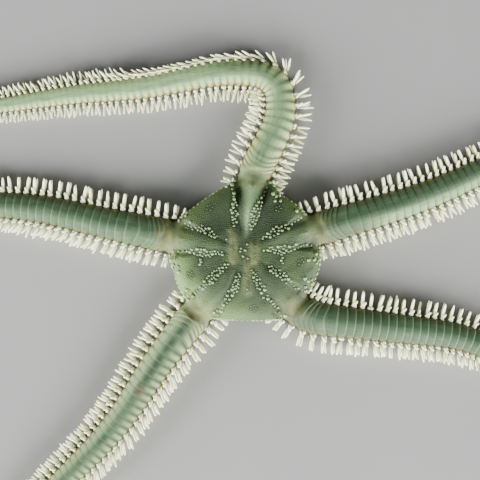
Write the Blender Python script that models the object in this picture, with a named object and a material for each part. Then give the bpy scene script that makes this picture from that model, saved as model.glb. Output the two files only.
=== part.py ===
"""A green brittle star, life size, lying on its mouth side with its five spiny arms spread.

Sizes are in millimetres and angles in degrees, and every mesh is written in metres. The arms grow from
the disc's centre. Seen from above, arm 1 leaves the disc along +Y, and the others follow clockwise.
"""

import math
import random

import bmesh
import bpy
from mathutils import Matrix, Vector

MM = 0.001
GAP = 0.3

# Whole animal, and where the disc's centre lies so that the outstretched arms are centred on the origin
DISC_DIAMETER = 40.0
ARM_REACH = 5.0 * DISC_DIAMETER
DISC_CENTRE = Vector((8.2, 31.5))

# Disc: heights of its underside, its rim and its dome, how square the dome is, and its relief
UNDERSIDE = 0.4
RIM_HEIGHT = 3.4
DOME_HEIGHT = 8.5
SQUARENESS = 3.6
SHOULDER = 0.4
RIDGE_HEIGHT = 0.9
HOLLOW_DEPTH = 0.5
ARM_EDGE = 21.7
SIDE_BULGE = 0.45
DISC_ROWS = 12
COLUMNS_AT_ARM = 4
COLUMNS_BETWEEN = 6

# The corners of the disc's outline beside each arm: angle from the arm's azimuth, distance from the centre
CORNERS = {
    "arm_1": ((20.0, 19.6), (-26.0, 19.2)),
    "arm_2": ((16.5, 20.4), (-22.5, 22.0)),
    "arm_3": ((21.0, 21.7), (-13.0, 22.3)),
    "arm_4": ((14.0, 21.0), (-18.5, 21.2)),
    "arm_5": ((23.5, 20.8), (-17.0, 20.4)),
}

# Rows of granules, two over each arm: distance from the centre and angle from the arm's azimuth at both ends
ROW_INNER = (6.5, 18.0)
ROW_OUTER = (18.6, 14.5)
ROW_HALF_WIDTH = 0.75
ROW_HEIGHT = 0.4
ROW_PIECES = 3

# Arms: half the width of the body without its spines at the root and the tip, its height, and its section
ARM_START = 22.0
HALF_WIDTH_ROOT = 5.2
HALF_WIDTH_TIP = 0.5
HEIGHT_SHARE = 1.3
SECTION = (
    (-0.55, 0.0),
    (0.55, 0.0),
    (1.0, 0.24),
    (0.92, 0.76),
    (0.40, 1.0),
    (-0.40, 1.0),
    (-0.92, 0.76),
    (-1.0, 0.24),
)

# Each arm's azimuth where it leaves the centre, its bends and its rolls as (place along it, spread, turn),
# and the numbers of the plates before which it is parted into lengths
ARMS = {
    "arm_1": {
        "azimuth": 83.0,
        "bends": ((22, 16, -20), (40, 16, 33), (51, 14, 77), (64, 20, 19), (89, 20, -7), (109, 24, 4),
                  (148, 56, -32), (184, 36, 28)),
        "rolls": ((52, 20, -50), (90, 40, 22)),
        "parts": {"base": 0, "bend": 2, "middle": 5, "outer": 11, "tip": 17},
    },
    "arm_2": {
        "azimuth": 16.7,
        "bends": ((54, 30, 8), (95, 50, 24), (142, 50, -36), (186, 28, 20)),
        "rolls": (),
        "parts": {"base": 0, "middle": 4, "outer": 10, "tip": 17},
    },
    "arm_3": {
        "azimuth": -47.7,
        "bends": ((25, 16, 41), (72, 26, -22), (106, 50, -30), (150, 48, 44), (186, 28, -22)),
        "rolls": ((60, 40, -6),),
        "parts": {"base": 0, "middle": 4, "outer": 10, "tip": 17},
    },
    "arm_4": {
        "azimuth": -127.7,
        "bends": ((40, 20, 5), (63, 30, -13), (110, 50, 30), (150, 46, -38), (186, 28, -24)),
        "rolls": ((30, 20, 12),),
        "parts": {"base": 0, "middle": 4, "outer": 10, "tip": 17},
    },
    "arm_5": {
        "azimuth": 168.6,
        "bends": ((44, 20, -3), (59, 26, 11), (100, 50, 34), (148, 50, -34), (186, 28, -20)),
        "rolls": ((30, 20, 8),),
        "parts": {"base": 0, "middle": 4, "outer": 10, "tip": 17},
    },
}

# Arm plates: each stands for four joints of the real arm. The last one's length as a share of the first's,
# the step between one plate and the next, and the most that one straight piece turns in a bend
PLATES = 26
LAST_TO_FIRST = 0.43
PLATE_STEP = 0.07
SEAM = 0.35
MOST_TURN = 14.0

# Spines stand along both sides of the arm in a fan: elevation, height of the root, share of the full length
SPINE_SPACING = 2.3
FAN = ((24.0, 0.50, 1.0), (52.0, 0.66, 0.76), (4.0, 0.36, 0.96))
SPINE_LENGTH_ROOT = 5.1
SPINE_LENGTH_TIP = 1.5
SPINE_RADIUS_ROOT = 0.6
SPINE_RADIUS_TIP = 0.36
SPINE_TAPER = 0.7
SPINE_LEAN = 9.0
LEAN_WITH_ROLL = 0.5
SPINE_WOBBLE = 5.0
FOOT_SHARE = 0.93
SUNK_SHARE = 0.2
SHORT_AT_DISC = 0.6
INNER_REACH = 0.75

# Mouth: a star-shaped recess under the disc, with one lobe and one toothed jaw between each two arms
MOUTH_RADIUS = 6.4
MOUTH_WAIST = 3.9
MOUTH_DEPTH = 1.9
JAW_UNDERSIDE = 0.35
JAW_POINT = 0.75
JAW_POINT_HALF_WIDTH = 0.28
JAW_TEETH = 4
TOOTH_DEPTH = 0.32
ROOT_START = 4.0

DISC_GREEN = (0.20, 0.27, 0.15, 1.0)
ARM_GREEN = (0.27, 0.36, 0.24, 1.0)
JAW_CREAM = (0.62, 0.60, 0.44, 1.0)


def collection(name):
    made = bpy.data.collections.new(name)
    bpy.context.scene.collection.children.link(made)
    return made


def material(name, colour, roughness):
    made = bpy.data.materials.new(name)
    made.use_nodes = True
    shader = made.node_tree.nodes["Principled BSDF"]
    shader.inputs["Base Color"].default_value = colour
    shader.inputs["Roughness"].default_value = roughness
    shader.inputs["Metallic"].default_value = 0.0
    return made


def add_object(name, mesh, where):
    """Turns a bmesh into a named object in a collection."""
    bmesh.ops.recalc_face_normals(mesh, faces=mesh.faces)
    data = bpy.data.meshes.new(name)
    mesh.to_mesh(data)
    mesh.free()
    made = bpy.data.objects.new(name, data)
    where.objects.link(made)
    return made


def loft(name, rings, where):
    """A closed body through rings that have one count of points, with flat ends."""
    mesh = bmesh.new()
    rows = [[mesh.verts.new(point) for point in ring] for ring in rings]
    for near, far in zip(rows, rows[1:]):
        for i in range(len(near)):
            j = (i + 1) % len(near)
            mesh.faces.new((near[i], near[j], far[j], far[i]))
    mesh.faces.new(rows[0])
    mesh.faces.new(rows[-1])
    return add_object(name, mesh, where)


def keep_largest(body):
    """Drops every closed surface of a mesh but the one with the most points."""
    mesh = bmesh.new()
    mesh.from_mesh(body.data)
    left = set(mesh.verts)
    surfaces = []
    while left:
        surface = {left.pop()}
        front = list(surface)
        while front:
            vertex = front.pop()
            new = {edge.other_vert(vertex) for edge in vertex.link_edges} & left
            left -= new
            surface |= new
            front.extend(new)
        surfaces.append(surface)
    surfaces.sort(key=len)
    scraps = [vertex for surface in surfaces[:-1] for vertex in surface]
    bmesh.ops.delete(mesh, geom=scraps, context="VERTS")
    mesh.to_mesh(body.data)
    mesh.free()


def fuse(body, pieces):
    """Joins every piece of a collection to the body, and removes the collection."""
    modifier = body.modifiers.new("fused", "BOOLEAN")
    modifier.operation = "UNION"
    modifier.operand_type = "COLLECTION"
    modifier.collection = pieces
    modifier.solver = "EXACT"
    graph = bpy.context.evaluated_depsgraph_get()
    fused = bpy.data.meshes.new_from_object(body.evaluated_get(graph))
    body.modifiers.clear()
    body.data = fused
    for piece in list(pieces.objects):
        bpy.data.objects.remove(piece)
    bpy.data.collections.remove(pieces)
    keep_largest(body)


def placed(x, y, z):
    """A point given from the disc's centre in millimetres, in metres from the origin."""
    return Vector((x + DISC_CENTRE.x, y + DISC_CENTRE.y, z)) * MM


def polar(distance, azimuth):
    """A point on the floor from its distance and azimuth, in degrees, about the disc's centre."""
    return Vector((math.cos(math.radians(azimuth)), math.sin(math.radians(azimuth)))) * distance


def eased(x):
    x = min(max(x, 0.0), 1.0)
    return x * x * (3.0 - 2.0 * x)


def summed(turns, along):
    """The turning, in degrees, that is done by one place along an arm."""
    return sum(turn * eased((along - at) / spread + 0.5) for at, spread, turn in turns)


def share_along(along):
    """0 at the arm's root and 1 at its tip."""
    return (along - ARM_START) / (ARM_REACH - ARM_START)


def half_width(along):
    return HALF_WIDTH_ROOT + (HALF_WIDTH_TIP - HALF_WIDTH_ROOT) * share_along(along)


def plate_start(number):
    """Where a plate starts along the arm: plates get shorter towards the tip by one ratio."""
    reached = 1.0 - LAST_TO_FIRST ** (number / PLATES)
    return ARM_START + (ARM_REACH - ARM_START) * reached / (1.0 - LAST_TO_FIRST)


class Arm:
    """The middle line of one arm on the floor, and points beside it."""

    STEP = 0.25

    def __init__(self, azimuth, bends, rolls, parts):
        self.azimuth = azimuth
        self.bends = bends
        self.rolls = rolls
        self.parts = parts
        self.line = [Vector((0.0, 0.0))]
        for i in range(round(ARM_REACH / self.STEP)):
            self.line.append(self.line[-1] + polar(self.STEP, self.heading((i + 0.5) * self.STEP)))

    def heading(self, along):
        return self.azimuth + summed(self.bends, along)

    def roll(self, along):
        return summed(self.rolls, along)

    def turned(self, near, far):
        """How far the arm turns from one place to another."""
        return summed(self.bends, far) - summed(self.bends, near)

    def point(self, along, left, up):
        """A point to the left of the middle line and above the floor."""
        i = min(int(along / self.STEP), len(self.line) - 2)
        middle = self.line[i].lerp(self.line[i + 1], along / self.STEP - i)
        beside = polar(left, self.heading(along) + 90.0)
        return placed(middle.x + beside.x, middle.y + beside.y, up)

    def ring(self, along, scale):
        """The body's section at one place, its back leaning over by the arm's roll."""
        width = half_width(along) * scale
        height = half_width(along) * HEIGHT_SHARE * (0.4 + 0.6 * scale)
        lean = math.sin(math.radians(self.roll(along))) / 2.0
        return [self.point(along, (x - lean * z * z) * width, z * height) for x, z in SECTION]


def plate_rings(arm, start, end):
    """The rings of one plate: it widens to its far edge, and takes more rings where the arm bends."""
    pieces = max(1, math.ceil(abs(arm.turned(start, end)) / MOST_TURN))
    shares = [i / pieces for i in range(pieces + 1)]
    return [arm.ring(start + (end - start) * share, 1.0 - PLATE_STEP * (1.0 - share)) for share in shares]


def add_spine(root, direction, length, radius, sunk, where):
    """One blunt three-sided spine, its foot sunk into the arm."""
    mesh = bmesh.new()
    middle = root + direction * (length - sunk) / 2.0 * MM
    upright = direction.to_track_quat("Z", "Y").to_matrix().to_4x4()
    bmesh.ops.create_cone(
        mesh,
        cap_ends=True,
        segments=3,
        radius1=radius * MM,
        radius2=radius * SPINE_TAPER * MM,
        depth=(length + sunk) * MM,
        matrix=Matrix.Translation(middle) @ upright,
    )
    add_object("spine", mesh, where)


def longest_inside(arm, along, side):
    """How long a spine may be on the inner side of a bend, where the spines lean together."""
    turn = math.radians(arm.turned(along - 2.0, along + 2.0)) / 4.0
    if turn * side < 0.01:
        return SPINE_LENGTH_ROOT
    return (1.0 / (turn * side) - half_width(along)) * INNER_REACH


def plate_spines(arm, start, end, number, chance, where):
    """The spines of one plate on both sides; each in turn takes the next elevation of the fan."""
    count = round((end - start) / SPINE_SPACING)
    for i in range(count):
        for side in (1, -1):
            along = start + (end - start) * (i + 0.5) / count
            elevation, height, share = FAN[(number * 2 + i + (side < 0)) % len(FAN)]
            wobble = chance.uniform(-1.0, 1.0)
            t = share_along(along)
            grown = SHORT_AT_DISC + (1.0 - SHORT_AT_DISC) * eased(t * 25.0)
            full = SPINE_LENGTH_ROOT + (SPINE_LENGTH_TIP - SPINE_LENGTH_ROOT) * t**1.5
            length = min(full * share * grown * chance.uniform(0.92, 1.05), longest_inside(arm, along, side))
            radius = SPINE_RADIUS_ROOT + (SPINE_RADIUS_TIP - SPINE_RADIUS_ROOT) * t
            raised = side * arm.roll(along)
            rise = math.radians(max(elevation + raised + SPINE_WOBBLE * wobble, 0.0))
            lean = math.radians(SPINE_LEAN + SPINE_WOBBLE * wobble + max(raised, 0.0) * LEAN_WITH_ROLL)
            across = polar(math.cos(rise), arm.heading(along) + side * 90.0).to_3d()
            across.z = math.sin(rise)
            direction = across * math.cos(lean) + polar(math.sin(lean), arm.heading(along)).to_3d()
            width = half_width(along)
            sunk = max(width * SUNK_SHARE, GAP)
            lowest = radius + GAP + sunk * direction.z
            root = arm.point(along, side * width * FOOT_SHARE, max(height * width * HEIGHT_SHARE, lowest))
            add_spine(root, direction, length, radius, sunk, where)


def make_arm(name, arm, finish, chance, where):
    """The lengths of one arm, each a row of plates with its spines fused on."""
    firsts = list(arm.parts.values())
    for part, first, last in zip(arm.parts, firsts, firsts[1:] + [PLATES]):
        rings = []
        pieces = collection("spines")
        for number in range(first, last):
            start = plate_start(number) + (GAP if number == first else SEAM) / 2.0
            end = plate_start(number + 1) - (GAP if number == last - 1 else SEAM) / 2.0
            rings += plate_rings(arm, start, end)
            plate_spines(arm, start, end, number, chance, pieces)
        body = loft(f"{name}_{part}", rings, where)
        body.data.materials.append(finish)
        fuse(body, pieces)


def disc_columns(arms):
    """Azimuths and radii round the disc: arcs over the arms, and nearly straight sides between them."""
    corners = []
    for name, arm in arms.items():
        for number, (turn, distance) in enumerate(CORNERS[name]):
            corners.append(((arm.azimuth + turn) % 360.0, distance, number == 1))
    corners.sort()
    columns = []
    for (near, near_radius, arm_follows), (far, far_radius, _) in zip(corners, corners[1:] + corners[:1]):
        sweep = (far - near) % 360.0
        count = COLUMNS_AT_ARM if arm_follows else COLUMNS_BETWEEN
        start = polar(near_radius, 0.0)
        side = polar(far_radius, sweep) - start
        for i in range(count):
            share = i / count
            bow = 1.0 - (2.0 * share - 1.0) ** 2
            if arm_follows:
                straight = near_radius + (far_radius - near_radius) * share
                radius = straight + (ARM_EDGE - straight) * bow
            else:
                ray = polar(1.0, sweep * share)
                radius = start.cross(side) / ray.cross(side) + SIDE_BULGE * bow
            columns.append((near + sweep * share, radius))
    return columns


def dome_height(arms, azimuth, out):
    """The height of the disc's back: a square-shouldered dome with a ridge over each arm. out is 1 at the rim."""
    off_arm = min(abs((azimuth - arm.azimuth + 180.0) % 360.0 - 180.0) for arm in arms.values())
    hollow = eased((off_arm - 8.0) / 14.0)
    relief = RIDGE_HEIGHT * (1.0 - hollow) - HOLLOW_DEPTH * hollow
    relief *= eased(out * 2.2) * eased((1.0 - out) * 6.0)
    return RIM_HEIGHT + (DOME_HEIGHT - RIM_HEIGHT) * (1.0 - out**SQUARENESS) ** SHOULDER + relief


def disc_body(arms, where):
    """The disc as a sphere that is drawn out to its outline, domed above and flat below."""
    columns = disc_columns(arms)
    mesh = bmesh.new()
    bmesh.ops.create_uvsphere(mesh, u_segments=len(columns), v_segments=DISC_ROWS, radius=1.0)
    for vertex in mesh.verts:
        latitude = math.asin(min(max(vertex.co.z, -1.0), 1.0))
        turn = math.atan2(vertex.co.y, vertex.co.x) / math.tau
        azimuth, radius = columns[round(turn * len(columns)) % len(columns)]
        out = max(math.cos(latitude), 0.0) ** (2.0 / SQUARENESS)
        if latitude > -0.01:
            height = dome_height(arms, azimuth, min(out, 1.0))
        else:
            height = UNDERSIDE + (RIM_HEIGHT - UNDERSIDE) * (1.0 - (1.0 - out**SQUARENESS) ** SHOULDER)
        flat = polar(radius * out, azimuth)
        vertex.co = placed(flat.x, flat.y, height)
    return add_object("disc", mesh, where)


def add_arm_root(arm, where):
    """The arm's root as it runs in under the disc to the mouth, as wide and high as the arm at the disc's edge."""
    rings = []
    for along, scale in ((ROOT_START, 0.5), (ARM_START - GAP / 2.0, 1.0 - PLATE_STEP)):
        size = half_width(ARM_START) * scale
        height = half_width(ARM_START) * HEIGHT_SHARE * (0.4 + 0.6 * scale)
        rings.append([arm.point(along, x * size, z * height) for x, z in SECTION])
    loft("root", rings, where)


def add_granule_row(arms, arm, side, columns, where):
    """One row of granules as a low rib on the disc's back, its foot sunk into the dome."""
    rings = []
    for i in range(ROW_PIECES + 1):
        share = i / ROW_PIECES
        distance = ROW_INNER[0] + (ROW_OUTER[0] - ROW_INNER[0]) * share
        azimuth = arm.azimuth + side * (ROW_INNER[1] + (ROW_OUTER[1] - ROW_INNER[1]) * share)
        radius = min(columns, key=lambda column: abs((column[0] - azimuth + 180.0) % 360.0 - 180.0))[1]
        middle = polar(distance, azimuth)
        beside = polar(ROW_HALF_WIDTH, azimuth + 90.0)
        top = dome_height(arms, azimuth, distance / radius) + ROW_HEIGHT
        section = ((-1.0, top - 3.0 * ROW_HEIGHT), (1.0, top - 3.0 * ROW_HEIGHT), (0.5, top), (-0.5, top))
        rings.append([placed(*(middle + beside * x), z) for x, z in section])
    loft("granule_row", rings, where)


def gaps_between(arms):
    """The azimuths of both arms beside each of the five gaps."""
    azimuths = sorted(arm.azimuth % 360.0 for arm in arms.values())
    return list(zip(azimuths, azimuths[1:] + [azimuths[0] + 360.0]))


def mouth_outline(arms):
    """A star with a lobe in each gap between two arms and a notch at each arm."""
    points = []
    for near, far in gaps_between(arms):
        for share, distance in ((0.0, MOUTH_WAIST), (0.22, MOUTH_RADIUS), (0.5, MOUTH_RADIUS), (0.78, MOUTH_RADIUS)):
            points.append(polar(distance, near + (far - near) * share))
    return points


def prism(name, outline, low, high, where):
    """A straight-sided body over an outline, between two heights."""
    return loft(name, [[placed(p.x, p.y, z) for p in outline] for z in (low, high)], where)


def make_disc(arms, finish, where, cutters):
    disc = disc_body(arms, where)
    disc.data.materials.append(finish)
    columns = disc_columns(arms)
    pieces = collection("disc_pieces")
    for arm in arms.values():
        add_arm_root(arm, pieces)
        add_granule_row(arms, arm, 1, columns, pieces)
        add_granule_row(arms, arm, -1, columns, pieces)
    fuse(disc, pieces)
    cutter = prism("mouth_cutter", mouth_outline(arms), -1.0, MOUTH_DEPTH, cutters)
    cutter.hide_render = True
    cutter.display_type = "WIRE"
    modifier = disc.modifiers.new("mouth", "BOOLEAN")
    modifier.operation = "DIFFERENCE"
    modifier.object = cutter
    modifier.solver = "EXACT"


def make_jaws(arms, finish, where):
    """Five flat jaws with toothed sides, each pointing at the middle of the mouth."""
    for number, (near, far) in enumerate(gaps_between(arms), start=1):
        azimuth = (near + far) / 2.0
        spread = math.radians(far - near) * 0.28
        reach = MOUTH_RADIUS * math.cos(spread) - GAP
        root = MOUTH_RADIUS * math.sin(spread) - GAP
        steps = 2 * JAW_TEETH
        side = []
        for i in range(steps + 1):
            out = JAW_POINT + (reach - JAW_POINT) * i / steps
            width = JAW_POINT_HALF_WIDTH + (root - JAW_POINT_HALF_WIDTH) * i / steps
            side.append((out, width - TOOTH_DEPTH * (i % 2)))
        points = [polar(out, azimuth) + polar(width, azimuth + 90.0) for out, width in side]
        points += [polar(out, azimuth) - polar(width, azimuth + 90.0) for out, width in reversed(side)]
        jaw = prism(f"jaw_{number}", points, JAW_UNDERSIDE, MOUTH_DEPTH - GAP, where)
        jaw.data.materials.append(finish)


def main():
    for old in list(bpy.data.objects):
        bpy.data.objects.remove(old)
    star = collection("brittle_star")
    cutters = collection("cutters")
    arms = {name: Arm(**sizes) for name, sizes in ARMS.items()}
    make_disc(arms, material("disc", DISC_GREEN, 0.5), star, cutters)
    make_jaws(arms, material("jaw", JAW_CREAM, 0.5), star)
    arm_skin = material("arm", ARM_GREEN, 0.45)
    chance = random.Random(7)
    for name, arm in arms.items():
        make_arm(name, arm, arm_skin, chance, star)


main()
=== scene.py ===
"""The looks of a life-size green brittle star, which lies on its mouth side with its five arms spread.

Lengths are in millimetres and angles in degrees, and the meshes are in metres. The sections go from the skin
to the spines, granules, grain, mouth, pore scales and tube feet, and end with the floor, the lights and the
camera.
"""

import math

import bpy
import numpy as np
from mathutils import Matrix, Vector
from mathutils.kdtree import KDTree


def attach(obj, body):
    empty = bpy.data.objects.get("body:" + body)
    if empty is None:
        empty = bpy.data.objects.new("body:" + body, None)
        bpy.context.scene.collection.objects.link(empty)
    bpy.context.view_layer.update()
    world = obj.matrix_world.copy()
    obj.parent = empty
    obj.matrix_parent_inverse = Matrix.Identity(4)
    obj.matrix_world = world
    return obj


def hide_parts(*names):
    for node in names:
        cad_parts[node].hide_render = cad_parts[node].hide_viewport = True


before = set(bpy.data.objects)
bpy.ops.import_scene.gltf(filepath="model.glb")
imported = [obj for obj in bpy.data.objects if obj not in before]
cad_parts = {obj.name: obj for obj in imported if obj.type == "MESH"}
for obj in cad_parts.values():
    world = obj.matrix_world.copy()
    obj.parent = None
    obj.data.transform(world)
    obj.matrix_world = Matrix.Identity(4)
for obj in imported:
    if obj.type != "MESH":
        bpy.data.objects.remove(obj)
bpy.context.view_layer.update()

# The skin: one hide over disc and arms, drawn tight over limy plates, so that each joint of an arm shows as
# a low step with a pale lip. It rests on its flat underside, and the disc's edge laps over the root of each
# arm.

MM = 0.001
DISC_CENTRE = np.array((8.2, 31.5, 0.0))
ARM_START = 22.0
ARM_REACH = 200.0
HEIGHT_SHARE = 1.3

# Each arm: its azimuth, its bends and its rolls. A bend turns the arm to the left and a roll lifts its left
# side: the place along the arm, the length over which it goes, and the angle
ARMS = {
    "arm_1": (
        83.0,
        ((22, 16, -20), (40, 16, 33), (51, 14, 77), (64, 20, 19), (89, 20, -7), (109, 24, 4),
         (148, 56, -32), (184, 36, 28)),
        ((52, 20, -50), (90, 40, 22)),
    ),
    "arm_2": (
        16.7,
        ((54, 30, 8), (95, 50, 24), (142, 50, -36), (186, 28, 20)),
        (),
    ),
    "arm_3": (
        -47.7,
        ((25, 16, 41), (72, 26, -22), (106, 50, -30), (150, 48, 44), (186, 28, -22)),
        ((60, 40, -6),),
    ),
    "arm_4": (
        -127.7,
        ((40, 20, 5), (63, 30, -13), (110, 50, 30), (150, 46, -38), (186, 28, -24)),
        ((30, 20, 12),),
    ),
    "arm_5": (
        168.6,
        ((44, 20, -3), (59, 26, 11), (100, 50, 34), (148, 50, -34), (186, 28, -20)),
        ((30, 20, 8),),
    ),
}

# Places along an arm, and half its width there: it narrows to the mouth under the disc, and evenly to its
# tip
HALF_WIDTHS = ((4.0, 6.0, 9.0, 15.0, 22.0, 200.0), (0.9, 1.7, 3.0, 4.5, 5.05, 0.5))

# How pale the green of each arm is; the back plates of a pale arm are smoother
PALENESS = {"arm_1": 1.0, "arm_2": 0.25, "arm_3": 0.12, "arm_4": 0.62, "arm_5": 0.22}

# Some arms carry painted light on their right side, which stands in for the stronger light there: from one
# place to another along them, from one share of the half width to another, and how much
PAINTED_LIGHT_SIDES = {
    "arm_1": (60.0, 78.0, 0.3, -0.3, 0.62),
    "arm_2": (32.0, 44.0, -0.2, -0.6, 0.40),
    "arm_4": (20.0, 22.0, -0.25, -0.7, 0.34),
}

# On one side of a pale arm the seams widen into wedges of painted shadow, cast between the ribs by light from
# the other side: the side, 1 for the left, how far along they go and how dark they are
PAINTED_WEDGE_SHADOWS = {"arm_1": (-1.0, 54.0, 0.46), "arm_4": (1.0, 150.0, 0.85)}
WEDGES_END = 10.0

# How strongly the pale lip and the dark seam of each back plate show on each arm
JOINT_LINES = {
    "arm_1": (0.0, 0.03),
    "arm_2": (0.08, 0.30),
    "arm_3": (0.31, 0.10),
    "arm_4": (0.04, 0.12),
    "arm_5": (0.22, 0.10),
}

# A small rusty stain on the keel of arm 4: its middle and how far it spreads
STAIN = (-29.6, -39.3, 1.3)

# Joints: how many there are, how they close up towards the tip, and their even pitch under the disc
JOINTS = 104
LAST_TO_FIRST = 0.43
JOINTS_UNDER_DISC = 8
PITCH_UNDER_DISC = 2.25

# Back plates: one on each joint, but two on those from FIRST_FOLDS up to LAST_FOLDS, where the back is
# gathered in folds beside the disc. The steps along a plate go with its height above the mean.
FIRST_FOLDS = 1.0
LAST_FOLDS = 3.0
PLATE_STEPS = (0.0, 0.12, 0.30, 0.48, 0.66, 0.82, 0.94)
LIP_PROFILE = (-1.0, -0.70, -0.15, 0.25, 0.65, 1.0, 0.35)
LIP_UNEVENNESS = (0.7, 1.2)
LIP_RISE = 0.022
FOLD_RISE = 0.034
SMOOTHER_WHEN_PALE = 0.8
LIP_BOW = (-1.0, 0.14)
TILT_WITH_ROLL = 0.35
SIDE_SCALLOP = 0.06
BELLY_GROOVE = 0.07
PORE_DEPTH = 0.22
PORE_ACROSS = 0.44
PORE_RADIUS = 0.11

# The back and the belly of an arm: the share of its height from which each takes over from the side, and how
# softly
BACK_FROM = 0.54
BACK_SOFTNESS = 0.18
BELLY_BELOW = 0.16
BELLY_SOFTNESS = 0.14

# The rounded tip: rings that shrink by a scale and lie so far beyond the last joint
TIP_RINGS = ((0.85, 0.25), (0.5, 0.5), (0.15, 0.6))

# An arm's section from the keel over the shoulder and the side to the middle of the flat belly, as shares
# of its half width and height
SECTION = (
    (0.0, 1.0), (0.22, 0.975), (0.44, 0.92), (0.66, 0.845), (0.83, 0.755), (0.94, 0.64), (0.99, 0.51),
    (1.0, 0.36), (0.965, 0.20), (0.87, 0.07), (0.66, 0.0), (0.33, 0.0), (0.0, 0.0),
)
SECTION_BLUR = (-0.018, -0.009, 0.0, 0.009, 0.018)
SKIN_COLUMNS = 40


def eased(x):
    x = np.clip(x, 0.0, 1.0)
    return x * x * (3.0 - 2.0 * x)


def hump(x, width):
    """A soft bump, 1 in the middle and near 0 from twice its width on."""
    return np.exp(-((x / width) ** 2))


def turned(turns, along):
    """The turning, in degrees, that is done by each place along an arm."""
    return sum((turn * eased((along - at) / spread + 0.5) for at, spread, turn in turns), 0.0 * along)


def ray(azimuth):
    """Level unit vectors at azimuths in degrees."""
    angle = np.radians(azimuth)
    return np.stack((np.cos(angle), np.sin(angle), 0.0 * angle), axis=-1)


class Arm:
    """The middle line of one arm on the floor, from the disc's centre, and places beside it."""

    STEP = 0.25

    def __init__(self, azimuth, bends, rolls):
        self.azimuth = azimuth
        self.bends = bends
        self.rolls = rolls
        self.places = np.arange(0.0, ARM_REACH + 4.0, self.STEP)
        steps = ray(self.heading(self.places[:-1] + self.STEP / 2.0)) * self.STEP
        self.line = np.vstack((np.zeros(3), np.cumsum(steps, axis=0)))

    def heading(self, along):
        return self.azimuth + turned(self.bends, along)

    def roll(self, along):
        return turned(self.rolls, along)

    def point(self, along, left, up):
        """Points to the left of the middle line and above the floor."""
        middle = np.stack([np.interp(along, self.places, self.line[:, i]) for i in range(3)], axis=-1)
        beside = ray(self.heading(along) + 90.0) * left[..., None]
        return middle + beside + np.array((0.0, 0.0, 1.0)) * up[..., None]


def half_width(along):
    return np.interp(along, *HALF_WIDTHS)


def joint_place(number):
    """How far along an arm a joint lies; the joints under the disc have numbers below 0."""
    share = (1.0 - LAST_TO_FIRST ** (number / JOINTS)) / (1.0 - LAST_TO_FIRST)
    return ARM_START + np.where(number < 0.0, number * PITCH_UNDER_DISC, share * (ARM_REACH - ARM_START))


def joint_number(along):
    share = np.clip((along - ARM_START) / (ARM_REACH - ARM_START), 0.0, 1.1)
    beyond = JOINTS * np.log(1.0 - share * (1.0 - LAST_TO_FIRST)) / math.log(LAST_TO_FIRST)
    return np.where(along < ARM_START, (along - ARM_START) / PITCH_UNDER_DISC, beyond)


def joint_of_plate(plate):
    folded = FIRST_FOLDS + (plate - FIRST_FOLDS) / 2.0
    gathered = LAST_FOLDS - FIRST_FOLDS
    return np.where(plate < FIRST_FOLDS, plate, np.where(folded < LAST_FOLDS, folded, plate - gathered))


def plate_of_joint(number):
    return number + np.clip(number - FIRST_FOLDS, 0.0, LAST_FOLDS - FIRST_FOLDS)


half_section = np.array(SECTION)
full_section = np.vstack((half_section, half_section[-2::-1] * (-1.0, 1.0)))
section_turns = np.linspace(0.0, 1.0, len(full_section))


def section(turn):
    """Places round an arm's section. Turns of 0 to 1 start at the keel and go down its left side."""
    blurred = np.asarray(turn)[..., None] + np.array(SECTION_BLUR)
    return [np.interp(blurred, section_turns, full_section[:, i], period=1.0).mean(axis=-1) for i in (0, 1)]


def back_share(up):
    """How far a place counts as back and not as side, from its height as a share of the arm's."""
    return eased((up - BACK_FROM) / BACK_SOFTNESS)


def arm_surface(arm, number, turn, swell=0.0):
    """Points on an arm's skin from the joint number and the turn round its section."""
    across, up = section(turn)
    along = joint_place(number)
    width = half_width(along)
    rolled = np.sin(np.radians(arm.roll(along)))
    across = across * (1.0 + swell)
    up = np.maximum(0.5 + (up - 0.5) * (1.0 + swell), 0.0) * (1.0 + TILT_WITH_ROLL * rolled * across)
    return arm.point(along, (across - rolled / 2.0 * up * up) * width, up * width * HEIGHT_SHARE)


def tube_faces(rings, columns):
    """Quads between rings of points, and a flat face at both ends."""
    ring = np.arange(rings - 1)[:, None] * columns
    near = np.arange(columns)[None, :]
    far = (near + 1) % columns
    quads = np.stack((ring + near, ring + far, ring + far + columns, ring + near + columns), axis=-1)
    ends = [np.arange(columns)[::-1], np.arange(columns) + (rings - 1) * columns]
    return [*quads.reshape(-1, 4).tolist(), *[end.tolist() for end in ends]]


def add_object(name, data):
    """An object in the scene from a mesh, which is shaded smooth."""
    data.polygons.foreach_set("use_smooth", [True] * len(data.polygons))
    made = bpy.data.objects.new(name, data)
    bpy.context.scene.collection.objects.link(made)
    return made


def add_mesh(name, points, faces):
    """A mesh object from points about the disc's centre, in millimetres."""
    data = bpy.data.meshes.new(name)
    data.from_pydata(((points + DISC_CENTRE) * MM).tolist(), [], faces)
    return add_object(name, data)


def lip_bow(number, across):
    """How many joints the middle of a plate's edge lies beyond its ends: the folds bow to the disc."""
    share = LIP_BOW[0] + (LIP_BOW[1] - LIP_BOW[0]) * eased((number - 1.5) / 4.5)
    return share * (1.0 - np.minimum(across**2, 1.0)) * eased((number + 1.5) / 2.0)


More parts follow.
